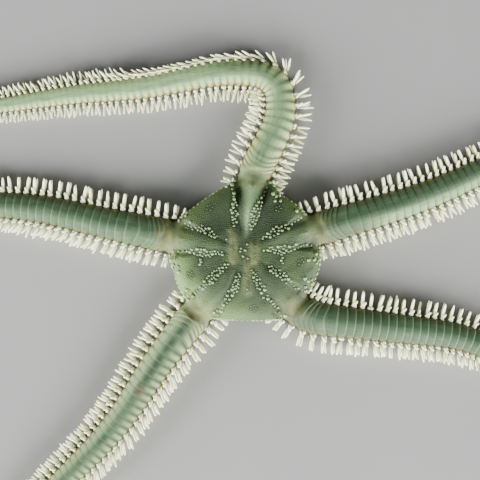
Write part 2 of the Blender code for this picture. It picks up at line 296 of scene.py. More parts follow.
def arm_skin(name, arm):
    """One arm from the mouth to its tip: a ring of points at each step of each back plate."""
    plates = np.arange(-JOINTS_UNDER_DISC, int(plate_of_joint(JOINTS)))
    unevenness = chance.uniform(*LIP_UNEVENNESS, len(plates))
    number = joint_of_plate(np.repeat(plates, len(PLATE_STEPS)) + np.tile(PLATE_STEPS, len(plates)))[:, None]
    step = number % 1.0
    lip = np.tile(LIP_PROFILE, len(plates))[:, None] * np.repeat(unevenness, len(PLATE_STEPS))[:, None]
    lip = lip * eased((number - 0.2) / 1.2)
    turn = np.linspace(1.0, 0.0, SKIN_COLUMNS, endpoint=False)[None, :] + 0.0 * number
    across, up = section(turn)
    back = back_share(up)
    belly = eased((BELLY_BELOW - up) / BELLY_SOFTNESS)
    side = 1.0 - back - belly
    lip = lip * (LIP_RISE + (FOLD_RISE - LIP_RISE) * eased((4.0 - number) / 2.0))
    lip = lip * (1.0 - SMOOTHER_WHEN_PALE * PALENESS[name])
    swell = back * lip + side * SIDE_SCALLOP * (np.sin(np.pi * step) ** 0.8 - 0.5)
    groove = belly * BELLY_GROOVE * (1.0 - np.sin(np.pi * step) ** 0.4)
    pore = belly * PORE_DEPTH * hump(np.abs(across) - PORE_ACROSS, PORE_RADIUS) * hump(step - 0.5, 0.22)
    bowed = number + lip_bow(number, across) * back * np.clip((JOINTS - number) / 4.0, 0.0, 1.0)
    points = arm_surface(arm, bowed, turn, swell)
    points[..., 2] += (groove + pore) * half_width(joint_place(bowed))
    tip = []
    ring = arm_surface(arm, np.full(SKIN_COLUMNS, JOINTS + 0.0), turn[0])
    middle = ring.mean(axis=0)
    onward = ray(np.array(arm.heading(ARM_REACH)))
    for scale, beyond in TIP_RINGS:
        tip.append(middle + (ring - middle) * scale + onward * beyond)
    points = np.vstack((points.reshape(-1, 3), *tip))
    return add_mesh(f"{name}_skin", points, tube_faces(len(points) // SKIN_COLUMNS, SKIN_COLUMNS))


# Disc: heights of its underside, rim and dome, how square the dome is, and the outline's corners beside
# each arm as an angle from the arm's azimuth and a distance from the centre
UNDERSIDE = 0.4
RIM_HEIGHT = 3.4
DOME_HEIGHT = 8.5
SQUARENESS = 3.6
SHOULDER = 0.4
ARM_EDGE = 21.7
SIDE_BULGE = 0.45
CORNERS = {
    "arm_1": ((20.0, 19.6), (-26.0, 19.2)),
    "arm_2": ((16.5, 20.4), (-22.5, 22.0)),
    "arm_3": ((21.0, 21.7), (-13.0, 22.3)),
    "arm_4": ((14.0, 21.0), (-18.5, 21.2)),
    "arm_5": ((23.5, 20.8), (-17.0, 20.4)),
}
DISC_COLUMNS = 400
ROWS_ABOVE = 84
ROWS_BELOW = 56
OUTLINE_POINTS = 24
SAMPLE_STEP = 4
SOFTENING = 0.8
SOFTENING_ROUNDS = 70

# Relief of the back: a ridge over each arm, given by its height and half width in degrees, with a furrow on
# both sides, given by its depth, place and half width, and three soft ridges near the centre, each from one
# point to another with its height
RIDGE = (0.30, 10.0)
FURROW = (0.15, 16.0, 4.5)
CENTRE_RIDGES = (
    ((-3.1, 5.7), (-3.1, -2.3), 0.60),
    ((2.9, 1.6), (2.9, -2.3), 0.50),
    ((1.1, -3.6), (1.1, -11.0), 0.50),
)
CENTRE_RIDGE_WIDTH = 1.2
FOLD_HEIGHT = 0.20
LOBE_SUNK = 0.12

# Underside: the star-shaped mouth, and the slit on both sides of each arm's root
MOUTH_WAIST = 3.9
MOUTH_RADIUS = 6.4
MOUTH_DEPTH = 1.5
SLIT_REACH = (9.5, 18.0)
SLIT_DEPTH = 0.9
SLIT_WIDTH = 0.42
SLIT_BESIDE = 0.8
SLIT_SOFTNESS = 1.5

# The relief of the back begins at a distance from the centre and grows over a length
RELIEF_FROM = 2.5
RELIEF_GROWS = 7.0

# The turns over which the outline is blurred, so that its corners are a little rounded
EDGE_BLUR = (-2.5, -1.2, 0.0, 1.2, 2.5)

# An arm's back where the disc's edge runs out on it: shares of the arm's half width, and of its height there
ARM_BACK = ((0.0, 0.44, 0.83, 0.94, 1.0, 1.2), (1.0, 0.92, 0.755, 0.64, 0.45, 0.0))

chance = np.random.default_rng(11)
arms = {name: Arm(*sizes) for name, sizes in ARMS.items()}
azimuths = np.array([arm.azimuth for arm in arms.values()])


def off_arm(azimuth):
    """The angle to the nearest arm, with its sign."""
    turns = (np.asarray(azimuth)[..., None] - azimuths + 180.0) % 360.0 - 180.0
    nearest = np.abs(turns).argmin(axis=-1)
    return np.take_along_axis(turns, nearest[..., None], axis=-1)[..., 0]


def outline():
    """Azimuths and radii round the disc: arcs over the arms, and nearly straight sides between them."""
    corners = []
    for name, arm in arms.items():
        for number, (turn, distance) in enumerate(CORNERS[name]):
            corners.append(((arm.azimuth + turn) % 360.0, distance, number == 1))
    corners.sort()
    found = []
    for (near, near_radius, arm_follows), (far, far_radius, _) in zip(corners, corners[1:] + corners[:1]):
        sweep = (far - near) % 360.0
        share = np.arange(OUTLINE_POINTS) / OUTLINE_POINTS
        bow = 1.0 - (2.0 * share - 1.0) ** 2
        straight = near_radius + (far_radius - near_radius) * share
        if arm_follows:
            radius = straight + (ARM_EDGE - straight) * bow
        else:
            chord = near_radius * far_radius * math.sin(math.radians(sweep))
            toward = near_radius * np.sin(np.radians(sweep * share))
            toward += far_radius * np.sin(np.radians(sweep * (1.0 - share)))
            radius = chord / toward + SIDE_BULGE * bow
        found.extend(zip((near + sweep * share) % 360.0, radius))
    found.sort()
    return np.array(found).T


outline_azimuths, outline_radii = outline()


def edge_radius(azimuth):
    """The distance from the centre to the disc's edge, with its corners a little rounded."""
    turned_by = np.asarray(azimuth)[..., None] + np.array(EDGE_BLUR)
    return np.interp(turned_by, outline_azimuths, outline_radii, period=360.0).mean(axis=-1)


def near_segment(x, y, start, end):
    """The distance from points to a straight course."""
    start, end = np.array(start), np.array(end)
    course = end - start
    share = ((x - start[0]) * course[0] + (y - start[1]) * course[1]) / (course @ course)
    share = np.clip(share, 0.0, 1.0)
    return np.hypot(x - start[0] - share * course[0], y - start[1] - share * course[1])


def folds(x, y):
    """Shallow uneven folds of the soft back, as heights from -1 to 1."""
    wave = np.sin(0.55 * x + 0.9 * np.sin(0.31 * y)) + np.sin(0.62 * y + 1.1 * np.sin(0.37 * x + 1.0))
    return (wave + 0.6 * np.sin(1.1 * x - 0.8 * y + np.sin(0.7 * y))) / 2.6


def rim(azimuth):
    """The height of the disc's edge, which runs out on each arm's back, and how far it lies on an arm."""
    edge = edge_radius(azimuth)
    across = edge * np.sin(np.radians(np.abs(off_arm(azimuth)))) / half_width(edge)
    arm_back = np.interp(across, *ARM_BACK)
    height = np.maximum(RIM_HEIGHT, arm_back * half_width(edge) * HEIGHT_SHARE - LOBE_SUNK)
    return height, eased((1.3 - across) / 0.6)


def dome(azimuth, out):
    """The height of the disc's back; out is 0 at the centre and 1 at the rim."""
    angle = np.abs(off_arm(azimuth))
    rim_height, on_arm = rim(azimuth)
    radius = edge_radius(azimuth) * out
    x, y = radius * np.cos(np.radians(azimuth)), radius * np.sin(np.radians(azimuth))
    relief = RIDGE[0] * hump(angle, RIDGE[1]) - FURROW[0] * hump(angle - FURROW[1], FURROW[2])
    relief = relief * eased((radius - RELIEF_FROM) / RELIEF_GROWS) + FOLD_HEIGHT * folds(x, y)
    for start, end, height in CENTRE_RIDGES:
        relief = relief + height * hump(near_segment(x, y, start, end), CENTRE_RIDGE_WIDTH)
    relief = relief * eased((1.0 - out) * 6.0)
    puffed = (1.0 - on_arm) * np.maximum(1.0 - out**SQUARENESS, 0.0) ** SHOULDER
    return rim_height + (DOME_HEIGHT - rim_height) * (puffed + on_arm * eased(2.1 - 2.1 * out)) + relief


def mouth_edge(azimuth):
    """The mouth's outline: wide between the arms and narrow at each of them."""
    lobe = eased((np.abs(off_arm(azimuth)) - 3.0) / 16.0)
    return MOUTH_WAIST + (MOUTH_RADIUS - MOUTH_WAIST) * lobe


def underside(azimuth, out):
    """The height of the disc's underside, with the mouth and the slits beside the arms sunk into it."""
    radius = edge_radius(azimuth) * out
    sunk = np.maximum(1.0 - out**SQUARENESS, 0.0) ** SHOULDER
    height = UNDERSIDE + (rim(azimuth)[0] - UNDERSIDE) * (1.0 - sunk)
    height = height + MOUTH_DEPTH * eased((mouth_edge(azimuth) - radius) / 0.7 + 0.5)
    beside = radius * np.sin(np.radians(np.abs(off_arm(azimuth)))) - half_width(radius) - SLIT_BESIDE
    reach = eased((radius - SLIT_REACH[0]) / SLIT_SOFTNESS) * eased((SLIT_REACH[1] - radius) / SLIT_SOFTNESS)
    return height + SLIT_DEPTH * reach * hump(beside, SLIT_WIDTH)


def disc_skin(name):
    """The disc's back and underside as rows of points round it, from the top's centre to the mouth."""
    azimuth = np.linspace(360.0, 0.0, DISC_COLUMNS, endpoint=False)[None, :]
    above = 1.0 - (1.0 - np.linspace(0.004, 1.0, ROWS_ABOVE)[:, None]) ** 1.5
    below = 1.0 - (1.0 - np.linspace(0.99, 0.01, ROWS_BELOW)[:, None]) ** 1.4
    rows = [(above, dome(azimuth + 0.0 * above, above)), (below, underside(azimuth + 0.0 * below, below))]
    points = [ray(azimuth + 0.0 * out) * (edge_radius(azimuth) * out)[..., None] for out, _ in rows]
    for row, (_, height) in zip(points, rows):
        row[..., 2] = height
    points = np.vstack([row.reshape(-1, 3) for row in points])
    return add_mesh(name, points, tube_faces(ROWS_ABOVE + ROWS_BELOW, DISC_COLUMNS))


def fused(name, body, pieces):
    """The union of a body and more pieces, as one new object."""
    group = bpy.data.collections.new(name)
    for piece in pieces:
        group.objects.link(piece)
    union = body.modifiers.new("union", "BOOLEAN")
    union.operation = "UNION"
    union.operand_type = "COLLECTION"
    union.collection = group
    union.solver = "MANIFOLD"
    graph = bpy.context.evaluated_depsgraph_get()
    data = bpy.data.meshes.new_from_object(body.evaluated_get(graph))
    data.name = name
    data.materials.clear()
    for piece in [body, *pieces]:
        bpy.data.objects.remove(piece)
    bpy.data.collections.remove(group)
    return add_object(name, data)


def places_of(piece):
    """The points of a piece's mesh about the disc's centre, in millimetres."""
    flat = np.empty(3 * len(piece.data.vertices))
    piece.data.vertices.foreach_get("co", flat)
    return flat.reshape(-1, 3) / MM - DISC_CENTRE


def note(piece, name, values):
    """Stores one number for each point of a piece, for its material to read."""
    made = piece.data.attributes.new(name, "FLOAT", "POINT")
    made.data.foreach_set("value", np.asarray(values, dtype=np.float32))


def tree_of(points):
    """A search tree of points, which are numbered in their order."""
    tree = KDTree(len(points))
    for number, point in enumerate(points):
        tree.insert(point, number)
    tree.balance()
    return tree


def beside_arms(points):
    """For each point the distance along the nearest arm, that to its left, and the arm's number."""
    samples = []
    for number, arm in enumerate(arms.values()):
        for place, middle in zip(arm.places[::SAMPLE_STEP], arm.line[::SAMPLE_STEP]):
            samples.append((number, place, *middle, math.radians(arm.heading(place))))
    samples = np.array(samples)
    tree = tree_of(samples[:, 2:5])
    level = points * (1.0, 1.0, 0.0)
    found = samples[[tree.find(point)[1] for point in level]]
    ahead = level - found[:, 2:5]
    cosine, sine = np.cos(found[:, 5]), np.sin(found[:, 5])
    along = found[:, 1] + ahead[:, 0] * cosine + ahead[:, 1] * sine
    return along, ahead[:, 1] * cosine - ahead[:, 0] * sine, found[:, 0]


def softened(piece, values, share, rounds):
    """Values at the points of a piece, drawn many times towards the mean of their neighbours."""
    edges = np.empty(2 * len(piece.data.edges), dtype=np.int32)
    piece.data.edges.foreach_get("vertices", edges)
    here = np.concatenate((edges[0::2], edges[1::2]))
    there = np.concatenate((edges[1::2], edges[0::2]))
    inside = share[here] > 0.0
    here, there = here[inside], there[inside]
    count = np.maximum(np.bincount(here, minlength=len(values)), 1)
    for _ in range(rounds):
        sums = [np.bincount(here, values[there, i], len(values)) for i in range(values.shape[1])]
        values = values + share[:, None] * (np.stack(sums, axis=-1) / count[:, None] - values)
    return values


skin = fused("skin", disc_skin("disc_skin"), [arm_skin(name, arm) for name, arm in arms.items()])
skin_points = places_of(skin)
azimuth = np.degrees(np.arctan2(skin_points[:, 1], skin_points[:, 0]))
radius = np.hypot(skin_points[:, 0], skin_points[:, 1])
out = np.minimum(radius / edge_radius(azimuth), 1.0)
off_back = np.abs(skin_points[:, 2] - dome(azimuth, out))
off_under = np.abs(skin_points[:, 2] - underside(azimuth, out))
on_disc = (radius < edge_radius(azimuth) + 0.02) & (np.minimum(off_back, off_under) < 0.04)

# The disc's edge runs out softly over the root of each arm
edge = edge_radius(azimuth)
at_root = eased((radius - edge + 3.0) / 2.0) * eased((edge + 2.5 - radius) / 2.0)
at_root = at_root * eased((19.0 - np.abs(off_arm(azimuth))) / 3.0) * eased((skin_points[:, 2] - 2.4) / 1.2)
disc_share = on_disc + at_root * (eased((edge + 2.0 - radius) / 4.0) - on_disc)
blend = softened(skin, np.column_stack((skin_points, disc_share)), SOFTENING * at_root, SOFTENING_ROUNDS)
skin_points, disc_share = blend[:, :3], blend[:, 3]
skin.data.vertices.foreach_set("co", ((skin_points + DISC_CENTRE) * MM).astype(np.float32).ravel())
along, left, nearest_arm = beside_arms(skin_points)
width = half_width(along)
across = np.clip(left / width, -1.5, 1.5)
rise = skin_points[:, 2] / (width * HEIGHT_SHARE)
joint = joint_number(along)
joint = joint - lip_bow(joint, across) * back_share(rise)


# Markings of the disc's back, and the light and shade painted on it: how far the tan spreads beside a ridge
# of the centre, half angles of the ridge over an arm, which carries painted light, and of the lobe at its
# root, where the lobe lies as shares of the disc's radius, the hollow by the centre, darkened by painted
# shade, with its spread, and the azimuth where the painted light on the edge is strongest
TAN_WIDTH = 1.5
LIT_RIDGE_ANGLE = 8.0
LOBE_ANGLE = 14.0
LOBE_SHARES = (0.76, 1.26)
LOBE_SOFTNESS = 0.2
HOLLOW = (3.0, 3.0, 4.5)
PAINTED_LIGHT_AZIMUTH = 210.0

# The height below which the disc counts as its underside, and how softly
UNDER_BELOW = 2.9
UNDER_SOFTNESS = 1.5


def mark_back(piece, points):
    """Notes the markings and the painted light and shade of the disc's back for points, so that skin and
    grain carry the same.
    """
    x, y, z = points.T
    azimuth = np.degrees(np.arctan2(y, x))
    radius = np.hypot(x, y)
    out = radius / edge_radius(azimuth)
    from_arm = off_arm(azimuth)
    on_ridge = hump(from_arm, LIT_RIDGE_ANGLE)
    tan = sum(hump(near_segment(x, y, start, end), TAN_WIDTH) for start, end, _ in CENTRE_RIDGES)
    lobe = eased((out - LOBE_SHARES[0]) / LOBE_SOFTNESS) * eased((LOBE_SHARES[1] - out) / LOBE_SOFTNESS)
    lobe = lobe * hump(from_arm, LOBE_ANGLE) * eased((z - UNDER_BELOW) / UNDER_SOFTNESS)
    # Painted shade: darker towards +y, in the furrows beside the ridges over the arms and in the hollow by
    # the centre
    deep = eased((y + 3.0) / 12.0) * eased((radius - 3.0) / 3.0) * eased((1.0 - out) * 4.0)
    deep = deep * (1.0 - on_ridge)
    furrow = hump(np.abs(from_arm) - 12.0, 6.0) * eased(radius / 6.0) * eased((1.0 - out) * 3.0)
    hollow = hump(np.hypot(x - HOLLOW[0], y - HOLLOW[1]), HOLLOW[2])
    note(piece, "tan", np.clip(tan, 0.0, 1.0))
    note(piece, "lobe", lobe)
    # Painted light on the ridge over each arm, towards +y
    note(piece, "ridge", on_ridge * eased(radius / 9.0) * eased((y - 2.0) / 8.0))
    note(piece, "deep", np.clip(deep * 0.75 + furrow * 0.2 + 0.5 * hollow, 0.0, 1.0))
    # The edge is a little paler all round, and painted light makes it much paler towards the front left
    to_front_left = (0.5 + 0.5 * np.cos(np.radians(azimuth - PAINTED_LIGHT_AZIMUTH))) ** 6
    note(piece, "pale_and_lit_edge", eased((out - 0.6) / 0.4) * (0.12 + 0.66 * to_front_left))


mark_back(skin, skin_points)
arm_number = nearest_arm.astype(int)
lip_shade, seam_shade = np.array(list(JOINT_LINES.values()))[arm_number].T
# Painted light on the right side of some arms
painted_light_side = np.zeros(len(skin_points))
for name, (start, full, inner, outer, share) in PAINTED_LIGHT_SIDES.items():
    here = share * eased((along - start) / (full - start)) * eased((inner - across) / (inner - outer))
    painted_light_side = np.where(arm_number == list(arms).index(name), here, painted_light_side)
painted_wedge_shadow = np.zeros(len(skin_points))
for name, (side, end, share) in PAINTED_WEDGE_SHADOWS.items():
    here = share * eased((side * across + 0.1) / 0.6) * eased((end + WEDGES_END - along) / WEDGES_END)
    painted_wedge_shadow = np.where(arm_number == list(arms).index(name), here, painted_wedge_shadow)
marks = {
    "joint": joint,
    "plate": plate_of_joint(joint),
    "across": across,
    "rise": rise,
    "disc": disc_share,
    "under": disc_share * eased((UNDER_BELOW - skin_points[:, 2]) / UNDER_SOFTNESS),
    "pale": np.array(list(PALENESS.values()))[arm_number],
    "painted_light_side": painted_light_side,
    "painted_wedge_shadow": painted_wedge_shadow,
    "lip_shade": lip_shade,
    "seam_shade": seam_shade,
    "stain": hump(np.hypot(skin_points[:, 0] - STAIN[0], skin_points[:, 1] - STAIN[1]), STAIN[2]),
}
for name, values in marks.items():
    note(skin, name, values)


def tint(red, green, blue):
    """A colour as it looks on a screen, from 0 to 255, for a shader."""
    shares = np.array((red, green, blue)) / 255.0
    return (*np.where(shares < 0.04045, shares / 12.92, ((shares + 0.055) / 1.055) ** 2.4).tolist(), 1.0)


class Signal:
    """One output of a shader node. Sums and products of signals add the Math nodes that they need."""

    def __init__(self, finish, socket):
        self.finish = finish
        self.socket = socket

    def math(self, operation, *values):
        return self.finish.node("Math", {"operation": operation}, dict(enumerate(values)))

    def __add__(self, other):
        return self.math("ADD", self, other)

    def __sub__(self, other):
        return self.math("SUBTRACT", self, other)

    def __mul__(self, other):
        return self.math("MULTIPLY", self, other)

    def __rsub__(self, other):
        return self.math("SUBTRACT", other, self)

    __radd__ = __add__
    __rmul__ = __mul__

    def fraction(self):
        return self.math("FRACT", self)

    def size(self):
        return self.math("ABSOLUTE", self)

    def between(self, low, high):
        """0 up to low and 1 from high on, with a soft change; low may be the greater one."""
        settings = {"interpolation_type": "SMOOTHSTEP"}
        ends = (low, high, 0.0, 1.0) if low < high else (high, low, 1.0, 0.0)
        return self.finish.node("MapRange", settings, dict(enumerate((self, *ends))))


class Finish:
    """One material, with the nodes that colour it."""

    def __init__(self, name, **shader):
        self.material = bpy.data.materials.new(name)
        self.material.use_nodes = True
        self.tree = self.material.node_tree
        self.shader = self.tree.nodes["Principled BSDF"]
        for socket, value in shader.items():
            self.shader.inputs[socket.replace("_", " ")].default_value = value

    def node(self, kind, settings, sockets, output=0):
        """Adds a node: its settings first, then the values or links of its sockets."""
        made = self.tree.nodes.new("ShaderNode" + kind)
        for name, value in settings.items():
            setattr(made, name, value)
        for name, value in sockets.items():
            if isinstance(value, Signal):
                self.tree.links.new(value.socket, made.inputs[name])
            else:
                made.inputs[name].default_value = value
        return Signal(self, made.outputs[output])

    def read(self, name):
        """A number that the piece's mesh keeps for each of its points."""
        return self.node("Attribute", {"attribute_name": name}, {}, "Fac")

    def place(self):
        return self.node("TexCoord", {}, {}, "Object")

    def noise(self, size, detail=2.0):
        """Soft blotches about as many millimetres across as size."""
        sockets = {"Vector": self.place(), "Scale": 1.0 / (size * MM), "Detail": detail}
        return self.node("TexNoise", {}, sockets)

    def grains(self, size):
        """Small round grains: the distance from each one's middle."""
        return self.node("TexVoronoi", {}, {"Vector": self.place(), "Scale": 1.0 / (size * MM)})

    def mix(self, under, over, share):
        """Two colours, the second one laid over the first by a share."""
        return self.node("Mix", {"data_type": "RGBA"}, {0: share, 6: under, 7: over}, 2)

    def layered(self, colour, *layers):
        """A colour under more of them, each laid over the last by its share."""
        for over, share in layers:
            colour = self.mix(colour, over, share)
        return colour

    def feed(self, socket, signal):
        self.tree.links.new(signal.socket, self.shader.inputs[socket])

    def bump(self, height, distance, strength):
        """Fine relief, as deep as distance in millimetres."""
        sockets = {"Height": height, "Distance": distance * MM, "Strength": strength}
        self.feed("Normal", self.node("Bump", {}, sockets))


hide = Finish("skin_of_star", Roughness=0.6, Specular_IOR_Level=0.35)
joint_count = hide.read("joint")
joint_phase = joint_count.fraction()
phase = hide.read("plate").fraction()
high = hide.read("rise")
aside_keel = hide.read("across")
beside_keel = aside_keel.size()
pale = hide.read("pale")
wedge_shadow_side = hide.read("painted_wedge_shadow")
clouds = hide.noise(9.0, 3.0).between(0.35, 0.68)
blots = hide.noise(2.2, 3.0).between(0.4, 0.7)
flecks = hide.noise(0.7, 2.0)
grain = hide.grains(0.42)
course = hide.node("CombineXYZ", {}, {0: joint_count * 0.5, 1: aside_keel * 12.0, 2: clouds})
pleats = hide.node("TexNoise", {}, {"Vector": course, "Scale": 1.0, "Detail": 1.0})

# The arms: grey green with a deeper keel, olive edges and fine pleats along them. On each plate of the back
# lie a cream rib between wedges of painted shadow, a slope of painted shade, a pale lip, a dark seam and a
# notch of painted shade at both ends of the seam. Rust specks stand at the edge of the back, painted shade
# darkens the side and the skin round the spines, some arms carry painted light on their right side and the
# belly is cream.
back = high.between(0.58, 0.70) * joint_count.between(0.3, 1.2)
fold = joint_count.between(4.5, 2.5)
to_edge = beside_keel.between(0.25, 0.95)
keel_share = (pale * (1.0 - pale) * 2.9 + 0.36) * beside_keel.between(0.55, 0.05) * clouds.between(-0.9, 0.7)
olive_share = beside_keel.between(0.35, 0.8) * (1.0 - pale) * 0.62
pleat_share = pleats.between(0.45, 0.7) * back * 0.35
rib = phase.between(0.0, 0.42) * phase.between(1.0, 0.58) * back
# The cream rib is the plate's own colour towards the edge, and painted highlight where it grows on the side
# of the wedge shadows
cream_share = rib * (to_edge + wedge_shadow_side * 0.5) * blots.between(-0.8, 0.6) * pale.between(0.3, 1.0)
# Painted shadow: dark wedges between the ribs of the pale arms, strongest on one side of arms 1 and 4
wedge_shadow_share = (1.0 - rib) * back * pale.between(0.3, 0.7) * (to_edge * 0.26 + wedge_shadow_side + 0.12)
# Painted shade: each plate darker at its start, as its slope would be in shade
painted_slope_shade = phase.between(0.6, 0.0) * back * (1.0 - pale) * (beside_keel.between(0.1, 0.8) * 0.42 + 0.16)
lip = phase.between(0.76, 0.92) * phase.between(1.0, 0.96) * back
lip_share = lip * (hide.read("lip_shade") * (1.0 - fold) + fold * 0.1)
cut = phase.between(0.16, 0.0) * back
seam_share = (1.0 - pale) * (beside_keel.between(0.3, 0.8) * 0.4 + fold * 0.15) + hide.read("seam_shade")
# Painted shade: a dark notch at both ends of each seam, in the gaps between the knobs at the edge of the back
painted_notch_shade = ((phase - 0.5).size() + beside_keel * 0.6).between(0.85, 1.0) * back
stain = hide.read("stain") * flecks.between(0.3, 0.6) * back
# Painted shade: the side of each arm under its spines, near black
painted_flank_shade = high.between(0.70, 0.58) * high.between(0.1, 0.25)
knob = (joint_phase - 0.55).size().between(0.3, 0.12) * high.between(0.74, 0.66) * high.between(0.42, 0.52)
rust = hide.noise(0.8, 2.0).between(0.50, 0.60) * high.between(0.78, 0.70) * high.between(0.48, 0.56)
belly_seam = joint_phase.between(0.10, 0.03) + joint_phase.between(0.90, 0.97)
pore = (beside_keel - PORE_ACROSS).size().between(0.13, 0.05) * (joint_phase - 0.5).size().between(0.2, 0.1)
belly_colour = hide.layered(
    hide.mix(tint(154, 154, 120), tint(172, 170, 138), blots),
    (tint(102, 102, 72), belly_seam * 0.6),
    (tint(80, 68, 40), pore * 0.7),
)
arm_colour = hide.layered(
    hide.mix(tint(45, 65, 46), tint(71, 96, 68), clouds),
    (tint(124, 154, 106), pale * 0.85),
    (tint(46, 68, 44), blots * 0.25),
    (tint(40, 62, 40), keel_share),
    (tint(54, 68, 30), olive_share),
    # Painted light on the right side of some arms
    (tint(170, 204, 146), hide.read("painted_light_side")),
    (tint(42, 62, 42), pleat_share),
    (tint(196, 200, 124), cream_share * 0.66),
    (tint(44, 62, 32), wedge_shadow_share),
    (tint(30, 42, 24), painted_slope_shade),
    (tint(122, 150, 112), lip_share),
    (tint(160, 172, 122), lip * fold * pale * 0.35),
    (tint(24, 36, 22), cut * seam_share),
    (tint(26, 30, 16), painted_notch_shade * 0.72),
    (tint(112, 66, 46), stain * 0.62),
    (tint(22, 28, 16), painted_flank_shade * 0.92),
    (tint(168, 162, 108), knob * (pale * 0.65 + 0.1)),
    (tint(128, 96, 32), rust * (pale * 0.4 + 0.4)),
    # Painted shade on the skin round the root of each spine
    (tint(20, 20, 12), hide.read("painted_socket_shade") * 0.7),
    (belly_colour, high.between(0.2, 0.06) * 0.9),
)

# The disc: olive green, with painted shade deepening it towards +y, in the furrows and in the hollow by the
# centre, painted light on the ridges over the arms towards +y and on the edge, most to the front left, a
# slightly paler edge all round, tan at its centre and at the arms' roots, a dark ring round each granule and
# a cream underside
tan = hide.read("tan") * hide.noise(1.8, 3.0).between(0.25, 0.7)
disc_colour = hide.layered(
    hide.mix(tint(35, 52, 27), tint(53, 74, 38), clouds),
    (tint(56, 64, 32), blots * 0.4),
    # Painted light on the ridges over the arms towards +y
    (tint(126, 158, 110), hide.read("ridge") * 0.95),
    # Painted shade towards +y, in the furrows and in the hollow by the centre
    (tint(17, 33, 11), hide.read("deep") * 0.75),
    (tint(98, 104, 54), tan * 0.65),
    # A slightly pale edge, with painted light towards the front left
    (tint(114, 142, 78), hide.read("pale_and_lit_edge")),
    (tint(15, 25, 13), hide.read("granule_shade") * 0.85),
    (tint(160, 160, 124), hide.read("under") * 0.85),
)
lobe_colour = hide.mix(tint(108, 108, 66), tint(72, 74, 44), hide.noise(3.0, 3.0).between(0.4, 0.65))
skin_colour = hide.layered(
    arm_colour,
    (disc_colour, hide.read("disc")),
    (lobe_colour, hide.read("lobe") * clouds.between(-0.7, 0.6) * 0.8),
    (tint(44, 54, 36), flecks.between(0.62, 0.75) * 0.35),
)
hide.feed("Base Color", skin_colour)
hide.bump(grain * -0.5 + flecks * 0.5 + pleats * 0.8, 0.10, 0.7)
skin.data.materials.append(hide.material)
flesh = [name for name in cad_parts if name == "disc" or name.startswith("arm_")]
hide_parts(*flesh)
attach(skin, "root")

# The arm spines: a stout knob and five blunt limy pegs on each side of every joint, in a fan from the upper
# short one to the lowest, rooted in the side plate. They lean to the tip, and pairs of them spread apart.

# Each spine of a fan: turn round the section, elevation, lean to the tip and how much of the arm's splay it
# adds, share of a joint's length, and the shares of the full length and radius
FAN = (
    (0.234, 38.0, 12.0, 0.0, 0.76, 0.22, 1.05),
    (0.238, 32.0, 34.0, 0.0, 0.44, 0.50, 1.10),
    (0.262, 24.0, 4.0, 1.0, 0.62, 1.00, 1.00),
    (0.296, 12.0, 4.0, -1.0, 0.60, 0.98, 1.00),
    (0.332, 2.0, 4.0, 1.0, 0.62, 0.88, 0.92),
    (0.368, -8.0, 4.0, -1.0, 0.60, 0.74, 0.85),
)
# How far apart the pairs of long spines stand on the left and the right side of each arm, in degrees, and
# how thick the spines of each arm are
SPLAY = {
    "arm_1": (10.0, 10.0),
    "arm_2": (1.5, 7.0),
    "arm_3": (1.5, 5.0),
    "arm_4": (3.5, 6.0),
    "arm_5": (7.0, 2.0),
}
THICKNESS = {"arm_1": 0.86, "arm_2": 1.02, "arm_3": 1.0, "arm_4": 1.08, "arm_5": 1.02}
SPINE_LENGTH_ROOT = 5.3
SPINE_LENGTH_TIP = 1.3
SPINE_RADIUS_ROOT = 0.45
SPINE_RADIUS_TIP = 0.14
STOUTER_KNOB = 0.55
FIRST_SPINES = -2
SHORT_AT_DISC = 0.62
OUT_AT_DISC = 0.13
LEAN_WITH_ROLL = 2.0
MOST_LEAN = 58.0
LOWERED_WITH_ROLL = 80.0
SUNK_IN_SIDE = 0.01

# Where a rolled arm's spines stand upright again, over what length and how far
UPRIGHT_FROM = 75.0
UPRIGHT_LENGTH = 35.0
UPRIGHT_SHARE = 0.8

# Disorder: the lean of a whole fan and of each spine, its rise, its place along and round the arm, its girth
# and length, how many are broken short and how short
FAN_WOBBLE = 4.0
LEAN_WOBBLE = 2.0
RISE_WOBBLE = 3.0
STEP_WOBBLE = 0.03
TURN_WOBBLE = 0.004
GIRTH_WOBBLE = 0.08
LENGTH_WOBBLE = 0.09
STUMPS = 0.025
STUMP_LENGTH = 0.45

# How deep a spine is set, as a share of its radius, the gaps that its tip and the whole of it keep to the
# floor, how much further the painted shade at the foot reaches up the knob, the short spine and each long
# one, and how far the painted shade on the skin round a spine reaches
FIRM_FOOT = 0.35
TIP_GAP = 0.05
ABOVE_FLOOR = 0.02
LONGER_PAINTED_FOOT_SHADE = (0.08, 0.02, 0.06)
SOCKET_REACH = 0.95
SPINE_SIDES = 8
SPINE_OUTLINE = (
    (0.0, 1.12), (0.045, 1.06), (0.09, 0.80), (0.22, 0.98),
    (0.50, 1.0), (0.78, 0.87), (0.93, 0.62), (0.99, 0.30),
)

# The bake map: how large each peg's patch is, and where the rows of spines lie on both sides of the keel
PATCH = 0.003
FIRST_ROW = 0.10
ROW_STEP = 0.06


def circles(ways, sides):
    """Unit vectors square to each of many ways, evenly round it."""
    aside = np.cross(ways, np.where(np.abs(ways[:, 2:]) < 0.9, (0.0, 0.0, 1.0), (1.0, 0.0, 0.0)))
    aside /= np.linalg.norm(aside, axis=1)[:, None]
    over = np.cross(ways, aside)
    angle = np.linspace(0.0, math.tau, sides, endpoint=False)[None, :, None]
    return aside[:, None, :] * np.cos(angle) + over[:, None, :] * np.sin(angle)


def repeated(faces, points, count):
    """The faces of one part, for a number of parts with as many points each, which follow one another."""
    return [[corner + part * points for corner in face] for part in range(count) for face in faces]


